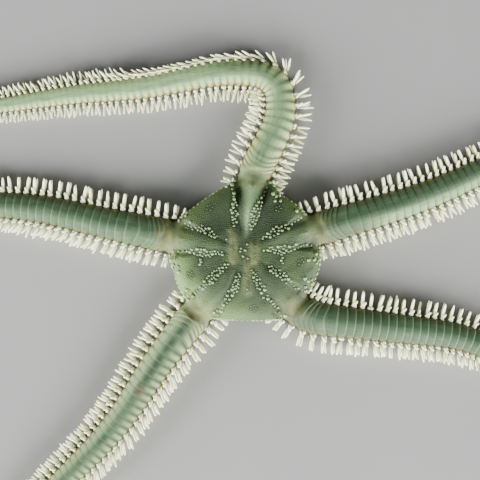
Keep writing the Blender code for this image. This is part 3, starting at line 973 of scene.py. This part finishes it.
def pegs(roots, directions, lengths, radii, sides=SPINE_SIDES, shape=SPINE_OUTLINE):
    """Many blunt pegs as points and faces. Shape gives the radius at shares of the length."""
    directions = directions / np.linalg.norm(directions, axis=1)[:, None]
    share, girth = np.array(shape).T
    middles = roots[:, None, :] + directions[:, None, :] * (lengths[:, None] * share)[..., None]
    spread = circles(directions, sides)[:, None, :, :] * (radii[:, None] * girth)[:, :, None, None]
    points = (middles[:, :, None, :] + spread).reshape(-1, 3)
    return points, repeated(tube_faces(len(shape), sides), len(shape) * sides, len(roots))


def up_pegs(sides, shape, count):
    """How far up its peg each point of many pegs lies."""
    return np.tile(np.repeat(np.array(shape)[:, 0], sides), count)


def lay_out(piece, centres, sides, rings):
    """The bake map of many pegs: each is a small patch at its root's place on the unwrapped skin."""
    ring, side = np.divmod(np.arange((rings - 1) * sides), sides)
    end = np.array((sides, *range(1, sides)))
    turns = np.concatenate(((side[:, None] + (0, 1, 1, 0)).ravel(), end[::-1], end))
    steps = np.concatenate(((ring[:, None] + (0, 0, 1, 1)).ravel(), 0 * end, 0 * end + rings - 1))
    patch = np.stack((turns / sides - 0.5, steps / (rings - 1) - 0.5), axis=-1) * PATCH
    layer = piece.data.uv_layers.new(name="OFBake")
    layer.data.foreach_set("uv", (centres[:, None, :] + patch).astype(np.float32).ravel())


def longest_inside(arm, place, side):
    """How long a spine may be on the inner side of a bend, where the spines lean together."""
    turn = np.radians(turned(arm.bends, place + 2.0) - turned(arm.bends, place - 2.0)) / 4.0 * side
    return np.where(turn > 0.01, 0.95 * (1.0 / np.maximum(turn, 0.01) - half_width(place)), SPINE_LENGTH_ROOT)


peg_bone = Finish("spine_bone", Roughness=0.36, Coat_Weight=0.25, Coat_Roughness=0.2)
up_spine = peg_bone.read("up_peg")
mood = peg_bone.read("mood")
bone = peg_bone.layered(
    peg_bone.mix(tint(244, 249, 196), tint(255, 255, 222), mood),
    (tint(176, 188, 132), up_spine.between(0.5, 0.15) * 0.5),
    # Painted shade: the foot of each spine near black, where it stands in the arm's shadow
    (tint(46, 48, 26), up_spine.between(0.26, 0.12) * 0.9),
    (tint(214, 216, 160), peg_bone.noise(0.5).between(0.55, 0.75) * 0.35),
)
peg_bone.feed("Base Color", bone)
peg_bone.bump(peg_bone.noise(0.22, 2.0), 0.05, 0.5)

spine_roots = []
for name, arm in arms.items():
    rows = []
    joints = np.arange(FIRST_SPINES, JOINTS)
    for side in (1, -1):
        fan_lean = FAN_WOBBLE * chance.normal(0.0, 1.0, len(joints))
        for order, (turn, elevation, lean, apart, step, long_share, thick_share) in enumerate(FAN):
            wobble = chance.uniform(-1.0, 1.0, (4, len(joints)))
            number = joints + step + STEP_WOBBLE * wobble[0]
            place = joint_place(number)
            t = np.maximum(place - ARM_START, 0.0) / (ARM_REACH - ARM_START)
            moved_out = OUT_AT_DISC * np.maximum(0.5 - number, 0.0) - SUNK_IN_SIDE
            root = arm_surface(arm, number, side * (turn + TURN_WOBBLE * wobble[1]), moved_out)
            radius = SPINE_RADIUS_ROOT + (SPINE_RADIUS_TIP - SPINE_RADIUS_ROOT) * t
            radius *= thick_share * THICKNESS[name] * (1.0 + GIRTH_WOBBLE * wobble[2])
            if order == 0:
                radius *= 1.0 + STOUTER_KNOB * PALENESS[name]
            grown = SHORT_AT_DISC + (1.0 - SHORT_AT_DISC) * eased((number + 2.0) / 4.0)
            full = SPINE_LENGTH_ROOT + (SPINE_LENGTH_TIP - SPINE_LENGTH_ROOT) * t**1.5
            length = full * long_share * grown
            length = length * (1.0 + LENGTH_WOBBLE * wobble[3])
            length = np.minimum(length, longest_inside(arm, place, side))
            length *= np.where(chance.uniform(0.0, 1.0, len(joints)) < STUMPS, STUMP_LENGTH, 1.0)
            upright = UPRIGHT_SHARE * eased((place - UPRIGHT_FROM) / UPRIGHT_LENGTH)
            raised = side * arm.roll(place) * (1.0 - upright)
            rising = elevation + RISE_WOBBLE * wobble[2]
            rising = np.where(raised > 0.0, rising + raised, rising * (1.0 + raised / LOWERED_WITH_ROLL))
            lowest = np.degrees(np.arcsin(np.clip((radius + TIP_GAP - root[:, 2]) / length, -0.9, 0.9)))
            rising = np.radians(np.maximum(rising, lowest))
            leaning = lean + fan_lean + LEAN_WOBBLE * chance.normal(0.0, 1.0, len(joints))
            leaning = leaning + apart * SPLAY[name][0 if side > 0 else 1]
            leaning = np.radians(leaning + np.clip(raised * LEAN_WITH_ROLL, 0.0, MOST_LEAN))
            outward = ray(arm.heading(place) + side * 90.0) * np.cos(rising)[:, None]
            outward[:, 2] = np.sin(rising)
            onward = ray(arm.heading(place))
            direction = outward * np.cos(leaning)[:, None] + onward * np.sin(leaning)[:, None]
            row = 0.5 + side * (FIRST_ROW + ROW_STEP * order) + 0.0 * place
            unwrapped = np.stack((place / ARM_REACH, row), axis=-1)
            foot = np.full(len(joints), LONGER_PAINTED_FOOT_SHADE[min(order, 2)])
            rows.append((root, direction, length, radius, unwrapped, 0.5 + 0.5 * wobble[3], foot))
    root, direction, length, radius, unwrapped, shade, foot = (np.concatenate(part) for part in zip(*rows))
    root = root - direction * FIRM_FOOT * radius[:, None]
    points, faces = pegs(root, direction, length, radius)
    per_peg = SPINE_SIDES * len(SPINE_OUTLINE)
    bottom = points[:, 2].reshape(-1, per_peg).min(axis=1)
    points[:, 2] += np.repeat(np.maximum(ABOVE_FLOOR - bottom, 0.0), per_peg)
    spines = add_mesh(f"{name}_spines", points, faces)
    lay_out(spines, unwrapped, SPINE_SIDES, len(SPINE_OUTLINE))
    up_peg = up_pegs(SPINE_SIDES, SPINE_OUTLINE, len(root))
    note(spines, "up_peg", up_peg - np.repeat(foot, per_peg))
    note(spines, "mood", np.repeat(shade, per_peg))
    spines.data.materials.append(peg_bone.material)
    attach(spines, "root")
    spine_roots.append(root)


def shade_near(piece, name, spots, reach):
    """Notes how close each point of a piece is to the nearest of some spots: 1 at one and 0 from reach on."""
    tree = tree_of(spots)
    gap = np.array([tree.find(point)[2] for point in places_of(piece)])
    note(piece, name, 1.0 - eased(gap / reach))


# Painted shade on the skin round the root of each spine
shade_near(skin, "painted_socket_shade", np.vstack(spine_roots), SOCKET_REACH)

# The granules: hard beads set in the disc's skin, in two crooked rows over each arm, in a chain round the
# rim and in small groups between. They are limy, pale and of uneven size, and a dark ring of skin lies
# round each.

ROWS = (
    ((-2.6, 6.9), (-3.1, 19.0)),
    ((1.7, 6.0), (3.7, 12.0), (5.1, 15.1), (6.6, 18.0)),
    ((5.1, 3.7), (10.3, 6.3), (14.6, 8.3), (16.9, 11.0)),
    ((5.1, 0.3), (11.7, 0.6), (16.0, 1.7), (21.0, 1.7)),
    ((6.6, -4.0), (11.7, -7.7), (14.6, -10.3), (17.4, -11.4)),
    ((2.3, -5.1), (4.0, -8.9), (6.0, -12.6), (8.9, -15.4), (10.7, -18.2)),
    ((-1.4, -6.3), (-2.9, -10.9), (-5.1, -14.3), (-7.2, -18.2)),
    ((-4.6, -3.4), (-8.3, -6.9), (-11.7, -10.0), (-16.0, -13.7)),
    ((-5.7, -0.6), (-11.1, -0.6), (-14.9, 0.3), (-20.4, 0.0)),
    ((-7.4, 4.0), (-11.1, 6.3), (-14.0, 6.6), (-18.5, 8.7)),
)
GROUPS = (
    (-12.3, -2.3), (-12.1, -3.0), (-12.5, -3.7), (10.6, -0.9), (10.9, -1.8), (10.5, -2.6), (10.9, -3.3),
    (-1.1, 0.0), (0.3, 0.3), (-0.3, -1.4), (1.1, -2.0), (0.9, 2.0), (-0.9, 0.9), (0.9, -10.7), (-4.9, 3.4),
)
RINGS = ((2.6, -16.0), (16.0, -3.1), (-15.1, -6.6), (-9.7, 12.3), (9.7, 12.0))
GRANULE_RADIUS = 0.45
GRANULE_SHADE = 1.05
TRIES_PER_MM = 40
ROW_HALF_WIDTH = (0.3, 1.1)
CLOSENESS = 0.95
CORNER_INSET = 0.9
CORNER_SPREAD = 0.9
CORNER_TRIES = 16
RING_RADIUS = 0.8
RIM_PITCH = 1.4
RIM_INSET = 0.4
RIM_BEADS_UP = 1.25
RIM_BEADS_FROM_ARM = 13.0
GRANULE_SIDES = 10
GRANULE_OUTLINE = ((0.0, 0.86), (0.25, 1.0), (0.5, 0.97), (0.72, 0.80), (0.89, 0.52), (0.98, 0.2))

# Sizes as shares of the usual radius: in a row the least and the range, and the growth along it, then the
# least and the greatest at the corners, in the groups and on the rim, and the one of a ring's five granules
ROW_SIZES = (0.72, 0.42)
ROW_GROWTH = (0.85, 0.3)
CORNER_SIZES = (1.0, 1.35)
GROUP_SIZES = (0.7, 0.95)
RIM_SIZES = (0.9, 1.15)
RING_SIZE = 0.48
RING_WOBBLE = 12.0


def on_back(x, y):
    """Points on the disc's back over places on the floor."""
    azimuth = np.degrees(np.arctan2(y, x))
    return np.stack((x, y, dome(azimuth, np.minimum(np.hypot(x, y) / edge_radius(azimuth), 1.0))), axis=-1)


def away_from_back(x, y):
    """Unit vectors straight out of the disc's back."""
    d = 0.25
    slope_x = (on_back(x + d, y)[:, 2] - on_back(x - d, y)[:, 2]) / (2.0 * d)
    slope_y = (on_back(x, y + d)[:, 2] - on_back(x, y - d)[:, 2]) / (2.0 * d)
    out = np.stack((-slope_x, -slope_y, np.ones_like(x)), axis=-1)
    return out / np.linalg.norm(out, axis=1)[:, None]


def lay_on_disc(piece, spots, sides, rings):
    """The bake map of a piece on the disc, whose unwrapped skin is a flat round."""
    lay_out(piece, 0.5 + spots[:, :2] * 0.02, sides, rings)


# Beads fall at random places of a band along each row, and then in a cluster at each corner beside an arm,
# and one stays where it finds room between the others. The first one lies far off, and goes with those past
# the rim.
beads = np.array(((99.0, 99.0, 0.0),))
falling = []
for course in ROWS:
    course = np.array(course)
    legs = np.hypot(*np.diff(course, axis=0).T)
    reached = np.concatenate(([0.0], np.cumsum(legs)))
    aside = np.array((course[0, 1] - course[-1, 1], course[-1, 0] - course[0, 0]))
    aside /= np.hypot(*aside)
    for share, offset, size in chance.uniform(0.0, 1.0, (int(TRIES_PER_MM * reached[-1]), 3)):
        middle = [np.interp(share * reached[-1], reached, course[:, i]) for i in (0, 1)]
        widening = math.sin(math.pi * min(share * 1.4, 1.0))
        band = ROW_HALF_WIDTH[0] + (ROW_HALF_WIDTH[1] - ROW_HALF_WIDTH[0]) * widening
        size = GRANULE_RADIUS * (ROW_SIZES[0] + ROW_SIZES[1] * size) * (ROW_GROWTH[0] + ROW_GROWTH[1] * share)
        falling.append((*(np.array(middle) + aside * (2.0 * offset - 1.0) * band), size))
for name, arm in arms.items():
    for turn, distance in CORNERS[name]:
        middle = ray(np.array(arm.azimuth + turn))[:2] * (distance - CORNER_INSET)
        for offset in chance.normal(0.0, CORNER_SPREAD, (CORNER_TRIES, 2)):
            falling.append((*(middle + offset), GRANULE_RADIUS * chance.uniform(*CORNER_SIZES)))
for x, y, size in falling:
    if np.all(np.hypot(beads[:, 0] - x, beads[:, 1] - y) > (beads[:, 2] + size) * CLOSENESS):
        beads = np.vstack((beads, (x, y, size)))
grouped = [(x, y, GRANULE_RADIUS * chance.uniform(*GROUP_SIZES)) for x, y in GROUPS]
for x, y in RINGS:
    for turn in np.arange(0.0, 360.0, 72.0):
        offset = ray(np.array(turn + chance.uniform(-RING_WOBBLE, RING_WOBBLE)))[:2] * RING_RADIUS
        grouped.append((x + offset[0], y + offset[1], GRANULE_RADIUS * RING_SIZE))
beads = np.vstack((beads, grouped))
bead_edge = edge_radius(np.degrees(np.arctan2(beads[:, 1], beads[:, 0])))
beads = beads[np.hypot(beads[:, 0], beads[:, 1]) < bead_edge - 0.3]

rim_turns = []
turn = 0.0
while turn < 360.0:
    rim_turns.append(turn)
    turn += math.degrees(RIM_PITCH * chance.uniform(0.8, 1.15) / float(edge_radius(np.array(turn))))
rim_turns = np.array(rim_turns)
beside_gap = np.abs(off_arm(rim_turns))
at_corner = hump(beside_gap - 19.0, 5.0)
rim_sizes = GRANULE_RADIUS * chance.uniform(*RIM_SIZES, len(rim_turns)) * (1.0 + 0.35 * at_corner)
off_arms = beside_gap > RIM_BEADS_FROM_ARM
rim_turns, rim_sizes = rim_turns[off_arms], rim_sizes[off_arms]
rim_outs = ray(rim_turns) * 0.6
rim_outs[:, 2] = 0.8
rim_roots = ray(rim_turns) * (edge_radius(rim_turns) - RIM_INSET)[:, None]
rim_roots[:, 2] = RIM_HEIGHT + RIM_BEADS_UP
bead_roots = np.vstack((on_back(beads[:, 0], beads[:, 1]), rim_roots))
bead_outs = np.vstack((away_from_back(beads[:, 0], beads[:, 1]), rim_outs))
bead_sizes = np.concatenate((beads[:, 2], rim_sizes))
bead_feet = bead_roots - bead_outs * 0.4 * bead_sizes[:, None]
points, faces = pegs(bead_feet, bead_outs, bead_sizes * 1.3, bead_sizes, GRANULE_SIDES, GRANULE_OUTLINE)
per_bead = GRANULE_SIDES * len(GRANULE_OUTLINE)
along_rim = np.repeat(ray(np.concatenate((np.zeros(len(beads)), rim_turns + 90.0))), per_bead, axis=0)
stretch = np.repeat(np.concatenate((np.zeros(len(beads)), np.full(len(rim_turns), 0.35))), per_bead)
from_foot = points - np.repeat(bead_feet, per_bead, axis=0)
points = points + along_rim * ((from_foot * along_rim).sum(axis=1) * stretch)[:, None]
granules = add_mesh("disc_granules", points, faces)
lay_on_disc(granules, bead_roots, GRANULE_SIDES, len(GRANULE_OUTLINE))
paleness = chance.uniform(0.0, 1.0, len(bead_feet)) * 0.6 + 0.5 * np.clip((bead_sizes - 0.4) / 0.15, 0.0, 1.0)
paleness[len(beads) - 5 * len(RINGS):len(beads)] = 0.0
note(granules, "mood", np.repeat(np.clip(paleness, 0.0, 1.0), per_bead))
note(granules, "up_peg", up_pegs(GRANULE_SIDES, GRANULE_OUTLINE, len(bead_feet)))

pearl = Finish("granule_lime", Roughness=0.34, Coat_Weight=0.3, Coat_Roughness=0.2)
pearl_colour = pearl.layered(
    pearl.mix(tint(68, 94, 54), tint(132, 157, 102), pearl.read("mood")),
    (tint(36, 52, 28), pearl.read("up_peg").between(0.55, 0.2) * 0.8),
    (tint(100, 126, 78), pearl.noise(0.4).between(0.5, 0.7) * 0.4),
)
pearl.feed("Base Color", pearl_colour)
pearl.bump(pearl.noise(0.3, 2.0), 0.04, 0.5)
granules.data.materials.append(pearl.material)
shade_near(skin, "granule_shade", bead_roots, GRANULE_SHADE)
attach(granules, "root")

# The fine grain of the disc: low grains close together between the granules, above and below, grown in the
# skin and of its colour, so that it looks pebbled from close by. It leaves the mouth, its shields and the
# slits bare.

GRAIN_PITCH = 0.58
GRAIN_RADIUS = 0.25
GRAIN_SIDES = 6
GRAIN_OUTLINE = ((0.0, 1.0), (0.5, 0.86), (0.92, 0.35))
GRAIN_DISORDER = 0.07
GRAIN_GAP = 0.60
GOLDEN_TURN = 137.508
SPIRAL_STEP = 0.525
LOBE_FROM = 18.5
LOBE_HALF_ANGLE = 12.0
BARE_ROUND_MOUTH = 10.8
BARE_BESIDE_ARMS = 1.5


def grain_spots(reach, pitch):
    """Places that are spread evenly over the disc, in a spiral with a little disorder."""
    count = np.arange(int((reach / (pitch * SPIRAL_STEP)) ** 2))
    radius = pitch * SPIRAL_STEP * np.sqrt(count + 0.5)
    spots = ray(count * GOLDEN_TURN)[:, :2] * radius[:, None]
    spots = spots + chance.normal(0.0, GRAIN_DISORDER, (len(count), 2))
    azimuth = np.degrees(np.arctan2(spots[:, 1], spots[:, 0]))
    return spots[np.hypot(spots[:, 0], spots[:, 1]) < edge_radius(azimuth) * 0.985]


def add_grain(name, roots, outs):
    sizes = GRAIN_RADIUS * chance.uniform(0.7, 1.15, len(roots))
    feet = roots - outs * 0.3 * sizes[:, None]
    points, faces = pegs(feet, outs, sizes * 0.66, sizes, GRAIN_SIDES, GRAIN_OUTLINE)
    grains = add_mesh(name, points, faces)
    lay_on_disc(grains, roots, GRAIN_SIDES, len(GRAIN_OUTLINE))
    middles = np.repeat(roots, GRAIN_SIDES * len(GRAIN_OUTLINE), axis=0)
    mark_back(grains, middles)
    note(grains, "disc", np.ones(len(points)))
    note(grains, "under", eased((UNDER_BELOW - middles[:, 2]) / UNDER_SOFTNESS))
    shade_near(grains, "granule_shade", bead_roots, GRANULE_SHADE)
    grains.data.materials.append(hide.material)
    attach(grains, "root")


spots = grain_spots(23.0, GRAIN_PITCH)
grain_roots = on_back(spots[:, 0], spots[:, 1])
bead_tree = tree_of(bead_roots)
clear = np.array([bead_tree.find(point)[2] for point in grain_roots]) > GRAIN_GAP
lap, side_gap, _ = beside_arms(grain_roots)
in_arm = (grain_roots[:, 2] < half_width(lap) * HEIGHT_SHARE) & (np.abs(side_gap) < half_width(lap) * 0.75)
from_arm = np.abs(off_arm(np.degrees(np.arctan2(spots[:, 1], spots[:, 0]))))
at_lobe = (from_arm < LOBE_HALF_ANGLE) & (np.hypot(*spots.T) > LOBE_FROM)
kept = clear & ~in_arm & ~at_lobe
add_grain("back_grain", grain_roots[kept], away_from_back(spots[kept, 0], spots[kept, 1]))

spots = grain_spots(22.0, GRAIN_PITCH * 1.25)
azimuth, radius = np.degrees(np.arctan2(spots[:, 1], spots[:, 0])), np.hypot(*spots.T)
low = underside(azimuth, radius / edge_radius(azimuth))
lap, side_gap, _ = beside_arms(np.column_stack((spots, low)))
slit_or_arm = np.abs(side_gap) < half_width(lap) + BARE_BESIDE_ARMS
kept = (radius > BARE_ROUND_MOUTH) & ~slit_or_arm & (low < RIM_HEIGHT - 1.0)
add_grain("underside_grain", np.column_stack((spots, low))[kept], np.tile((0.0, 0.0, -1.0), (kept.sum(), 1)))

# The mouth: five jaws that point at its middle, one in each gap between two arms. Each is a wedge of limy
# plates with blunt teeth at its point and a row of small papillae along both sides, and a shield behind it.

JAW_UNDERSIDE = 0.35
JAW_TOP = 1.6
JAW_POINT = 1.5
JAW_REACH = 5.6
JAW_POINT_HALF_WIDTH = 0.42
JAW_ROOT_HALF_WIDTH = 1.75
JAW_SQUARENESS = 0.8
JAW_COLUMNS = 20
JAW_ROWS = 12

# Teeth at a jaw's point, and papillae along its sides: how high or how many, and then each one's length and
# radius
TEETH_UP = (-0.3, 0.15)
TOOTH_SIZE = (0.95, 0.30)
PAPILLAE = 5
PAPILLA_SIZE = (0.8, 0.24)
SHIELD_PLACE = 8.6
SHIELD_SIZE = (1.7, 1.9, 0.5)
SHIELD_ROWS = 9
SHIELD_COLUMNS = 24

ivory = Finish("jaw_ivory", Roughness=0.38, Coat_Weight=0.2, Coat_Roughness=0.2)
ivory_colour = ivory.layered(
    ivory.mix(tint(214, 208, 172), tint(190, 186, 144), ivory.noise(0.9, 3.0).between(0.4, 0.65)),
    (tint(126, 118, 82), ivory.noise(0.35, 2.0).between(0.6, 0.75) * 0.5),
)
ivory.feed("Base Color", ivory_colour)
ivory.bump(ivory.noise(0.25, 2.0), 0.05, 0.6)


def jaw_half_width(share):
    """Half the width of a jaw from its point, at 0, to its root, at 1."""
    return JAW_POINT_HALF_WIDTH + (JAW_ROOT_HALF_WIDTH - JAW_POINT_HALF_WIDTH) * share**0.9


def squared(x):
    return np.sign(x) * np.abs(x) ** JAW_SQUARENESS


# One jaw's points and teeth, as distances ahead, aside and up
share = np.linspace(0.0, 1.0, JAW_ROWS)[:, None]
angle = np.linspace(0.0, math.tau, JAW_COLUMNS, endpoint=False)[None, :]
taper = np.sin(np.pi * np.clip(0.08 + 0.86 * share, 0.0, 1.0)) ** 0.35
middle = (JAW_TOP + JAW_UNDERSIDE) / 2.0
ahead = JAW_POINT + (JAW_REACH - JAW_POINT) * share + 0.0 * angle
aside = jaw_half_width(share) * taper * squared(np.cos(angle))
up = middle + (JAW_TOP - JAW_UNDERSIDE) / 2.0 * taper * squared(np.sin(angle))
body = np.stack((ahead, aside, up), axis=-1).reshape(-1, 3)
teeth = [(JAW_POINT + 0.35, 0.0, middle + row, -1.0, 0.0, -0.25, *TOOTH_SIZE) for row in TEETH_UP]
for side in (1, -1):
    for reach in (np.arange(PAPILLAE) + 0.5) / PAPILLAE:
        place = JAW_POINT + (JAW_REACH - JAW_POINT - 0.5) * reach
        beside = side * (jaw_half_width(reach) - 0.3)
        teeth.append((place, beside, JAW_UNDERSIDE + 0.32, -0.5, side, -0.12, *PAPILLA_SIZE))
teeth = np.array(teeth)

gaps = np.sort(azimuths % 360.0)
gap_turns = (gaps + np.append(gaps[1:], gaps[0] + 360.0)) / 2.0
for number, turn in enumerate(gap_turns, start=1):
    axes = np.stack((ray(turn), ray(turn + 90.0), (0.0, 0.0, 1.0)))
    points, faces = pegs(teeth[:, :3] @ axes, teeth[:, 3:6] @ axes, teeth[:, 6], teeth[:, 7])
    faces = tube_faces(JAW_ROWS, JAW_COLUMNS) + [[corner + len(body) for corner in face] for face in faces]
    jaw = add_mesh(f"toothed_jaw_{number}", np.vstack((body @ axes, points)), faces)
    jaw.data.materials.append(ivory.material)
    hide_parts(f"jaw_{number}")
    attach(jaw, "root")

# The shields: rounded triangles, as shells from their edge to the middle of their lower face
share = np.linspace(0.0, 1.0, SHIELD_ROWS)[:, None]
angle = np.linspace(math.tau, 0.0, SHIELD_COLUMNS, endpoint=False)[None, :]
spread = (1.0 + 0.12 * np.cos(angle * 3.0)) * np.cos(share * np.pi / 2.0) ** 0.5
shield_rows = []
for turn in gap_turns:
    flat = ray(turn + 0.0 * angle) * (SHIELD_PLACE + SHIELD_SIZE[0] * np.cos(angle) * spread)[..., None]
    flat = flat + ray(turn + 90.0) * (SHIELD_SIZE[1] * np.sin(angle) * spread)[..., None]
    flat[..., 2] = UNDERSIDE + 0.12 - SHIELD_SIZE[2] * 0.6 * np.sin(share * np.pi / 2.0) + 0.0 * angle
    shield_rows.append(flat.reshape(-1, 3))
faces = repeated(tube_faces(SHIELD_ROWS, SHIELD_COLUMNS), SHIELD_ROWS * SHIELD_COLUMNS, len(shield_rows))
shields = add_mesh("mouth_shields", np.vstack(shield_rows), faces)
shields.data.materials.append(ivory.material)
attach(shields, "root")

# The tentacle scales: two small oval plates over each pore in the arm's belly, one on each side, hinged on
# the side plate. They lie almost flat on the belly plates and are as pale as these.

SCALE_SIDES = 8
SCALE_OUTLINE = ((0.0, 0.55), (0.3, 0.95), (0.6, 1.0), (0.85, 0.75), (0.98, 0.3))
SCALE_LENGTH = 0.9
SCALE_RADIUS = 0.3

for name, arm in arms.items():
    rows = []
    number = np.arange(-JOINTS_UNDER_DISC + 1, JOINTS) + 0.3
    place = joint_place(number)
    width = half_width(place)
    for side in (1, -1):
        wobble = chance.uniform(-1.0, 1.0, len(number))
        radius = np.minimum(SCALE_RADIUS, width * 0.075) * (1.0 + 0.1 * wobble)
        root = arm.point(place, side * width * (PORE_ACROSS + 0.16), np.maximum(width * 0.03, radius + 0.02))
        direction = ray(arm.heading(place))
        direction = direction - side * ray(arm.heading(place) + 90.0) * (0.45 + 0.1 * wobble)[:, None]
        unwrapped = np.stack((place / ARM_REACH, 0.5 + side * 0.06 + 0.0 * place), axis=-1)
        length = np.minimum(SCALE_LENGTH, width * 0.24)
        rows.append((root, direction, length, radius, unwrapped))
    root, direction, length, radius, unwrapped = (np.concatenate(part) for part in zip(*rows))
    points, faces = pegs(root, direction, length, radius, SCALE_SIDES, SCALE_OUTLINE)
    scales = add_mesh(f"{name}_pore_scales", points, faces)
    lay_out(scales, unwrapped, SCALE_SIDES, len(SCALE_OUTLINE))
    scales.data.materials.append(ivory.material)
    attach(scales, "root")

# The tube feet: thin soft fingers that come out of the belly's pores. Most are drawn in; a few reach out
# between the lowest spines and lie on the floor, yellow brown and clear.

FOOT_CHANCE = 0.08
FOOT_SIDES = 8
FOOT_STEPS = 12
FOOT_RADIUS = 0.2
LAST_FOOT = 70

amber = Finish("tube_foot_amber", Roughness=0.3, Coat_Weight=0.4, Coat_Roughness=0.15)
amber_colour = amber.mix(tint(150, 128, 62), tint(188, 170, 104), amber.noise(0.5, 2.0).between(0.4, 0.65))
amber.feed("Base Color", amber_colour)
amber.bump(amber.noise(0.2, 2.0), 0.04, 0.5)

foot_points = []
for arm in arms.values():
    for joint in range(LAST_FOOT):
        for side in (1, -1):
            if chance.uniform() > FOOT_CHANCE:
                continue
            place = joint_place(np.full(FOOT_STEPS, joint + 0.5))
            width = half_width(place[0])
            share = np.linspace(0.0, 1.0, FOOT_STEPS)
            curl = chance.uniform(-1.6, 1.6)
            reach = width * PORE_ACROSS + (width * 0.6 + chance.uniform(1.0, 2.6) * width / 5.0) * share
            radius = FOOT_RADIUS * (1.0 - 0.35 * share) * min(1.0, width / 3.0)
            radius = np.where(share > 0.95, radius * 0.4, radius)
            lift = radius + 0.06 + 0.5 * np.sin(np.pi * share) * chance.uniform(0.2, 1.0)
            middle = arm.point(place + curl * share**2 * width / 5.0, side * reach, lift)
            way = np.gradient(middle, axis=0)
            way /= np.linalg.norm(way, axis=1)[:, None]
            ring = circles(way, FOOT_SIDES) * radius[:, None, None]
            foot_points.append((middle[:, None, :] + ring).reshape(-1, 3))
foot_faces = repeated(tube_faces(FOOT_STEPS, FOOT_SIDES), FOOT_STEPS * FOOT_SIDES, len(foot_points))
tube_feet = add_mesh("tube_feet", np.vstack(foot_points), foot_faces)
tube_feet.data.materials.append(amber.material)
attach(tube_feet, "root")

# The floor: a plain pale studio table top of painted board, matt and without a pattern. It is one flat sheet,
# so wide that its edges lie far outside the picture.

FLOOR_HALF = 3.0

paper = Finish("pale_floor", Roughness=0.85)
paper_colour = paper.mix(tint(131, 132, 130), tint(136, 137, 135), paper.noise(40.0, 2.0))
paper.feed("Base Color", paper_colour)
floor_data = bpy.data.meshes.new("floor")
floor_corners = [(x * FLOOR_HALF, y * FLOOR_HALF, 0.0) for x, y in ((-1, -1), (1, -1), (1, 1), (-1, 1))]
floor_data.from_pydata(floor_corners, [], [(0, 1, 2, 3)])
floor = bpy.data.objects.new("floor", floor_data)
floor.data.materials.append(paper.material)
bpy.context.scene.collection.objects.link(floor)

# The lights: broad soft boxes low on the left, the right and the viewer's side, and a weak one overhead, so
# that the flanks and spines shine and the backs stay deeper.

# Each light: azimuth, elevation, distance in metres, size in metres, power
LIGHTS = {
    "left_box": (-160.0, 15.0, 0.9, 0.40, 33.0),
    "right_box": (-26.0, 15.0, 0.9, 0.40, 27.0),
    "front_box": (-90.0, 18.0, 0.9, 0.40, 22.0),
    "top_box": (-90.0, 75.0, 1.1, 0.60, 1.5),
}
SKY_COLOUR = (0.9, 0.95, 1.0, 1.0)
SKY_STRENGTH = 0.15

middle = Vector((DISC_CENTRE * MM).tolist())
for name, (azimuth, elevation, away, size, power) in LIGHTS.items():
    lamp = bpy.data.lights.new(name, "AREA")
    lamp.size = size
    lamp.energy = power
    holder = bpy.data.objects.new(name, lamp)
    level = ray(np.array(azimuth)) * math.cos(math.radians(elevation))
    level[2] = math.sin(math.radians(elevation))
    holder.location = middle + Vector((level * away).tolist())
    holder.rotation_euler = (holder.location - middle).to_track_quat("Z", "Y").to_euler()
    bpy.context.scene.collection.objects.link(holder)
world = bpy.data.worlds.new("soft_room")
world.use_nodes = True
world.node_tree.nodes["Background"].inputs["Color"].default_value = SKY_COLOUR
world.node_tree.nodes["Background"].inputs["Strength"].default_value = SKY_STRENGTH
bpy.context.scene.world = world

# The camera: a long lens almost straight above, with the photograph's framing of the disc and of the arm
# with the hook.

VIEW_WIDTH = 137.14
VIEW_CENTRE = (-1.14, 3.3, 0.0)
ELEVATION = 89.0
CAMERA_AWAY = 600.0
SENSOR = 36.0

lens = bpy.data.cameras.new("camera")
lens.sensor_width = SENSOR
lens.lens = SENSOR * CAMERA_AWAY / VIEW_WIDTH
lens.clip_start = 0.01
camera = bpy.data.objects.new("camera", lens)
target = Vector(((DISC_CENTRE + VIEW_CENTRE) * MM).tolist())
tilt = math.radians(ELEVATION)
camera.location = target + Vector((0.0, -math.cos(tilt), math.sin(tilt))) * CAMERA_AWAY * MM
camera.rotation_euler = (math.radians(90.0 - ELEVATION), 0.0, 0.0)
bpy.context.scene.collection.objects.link(camera)
bpy.context.scene.camera = camera
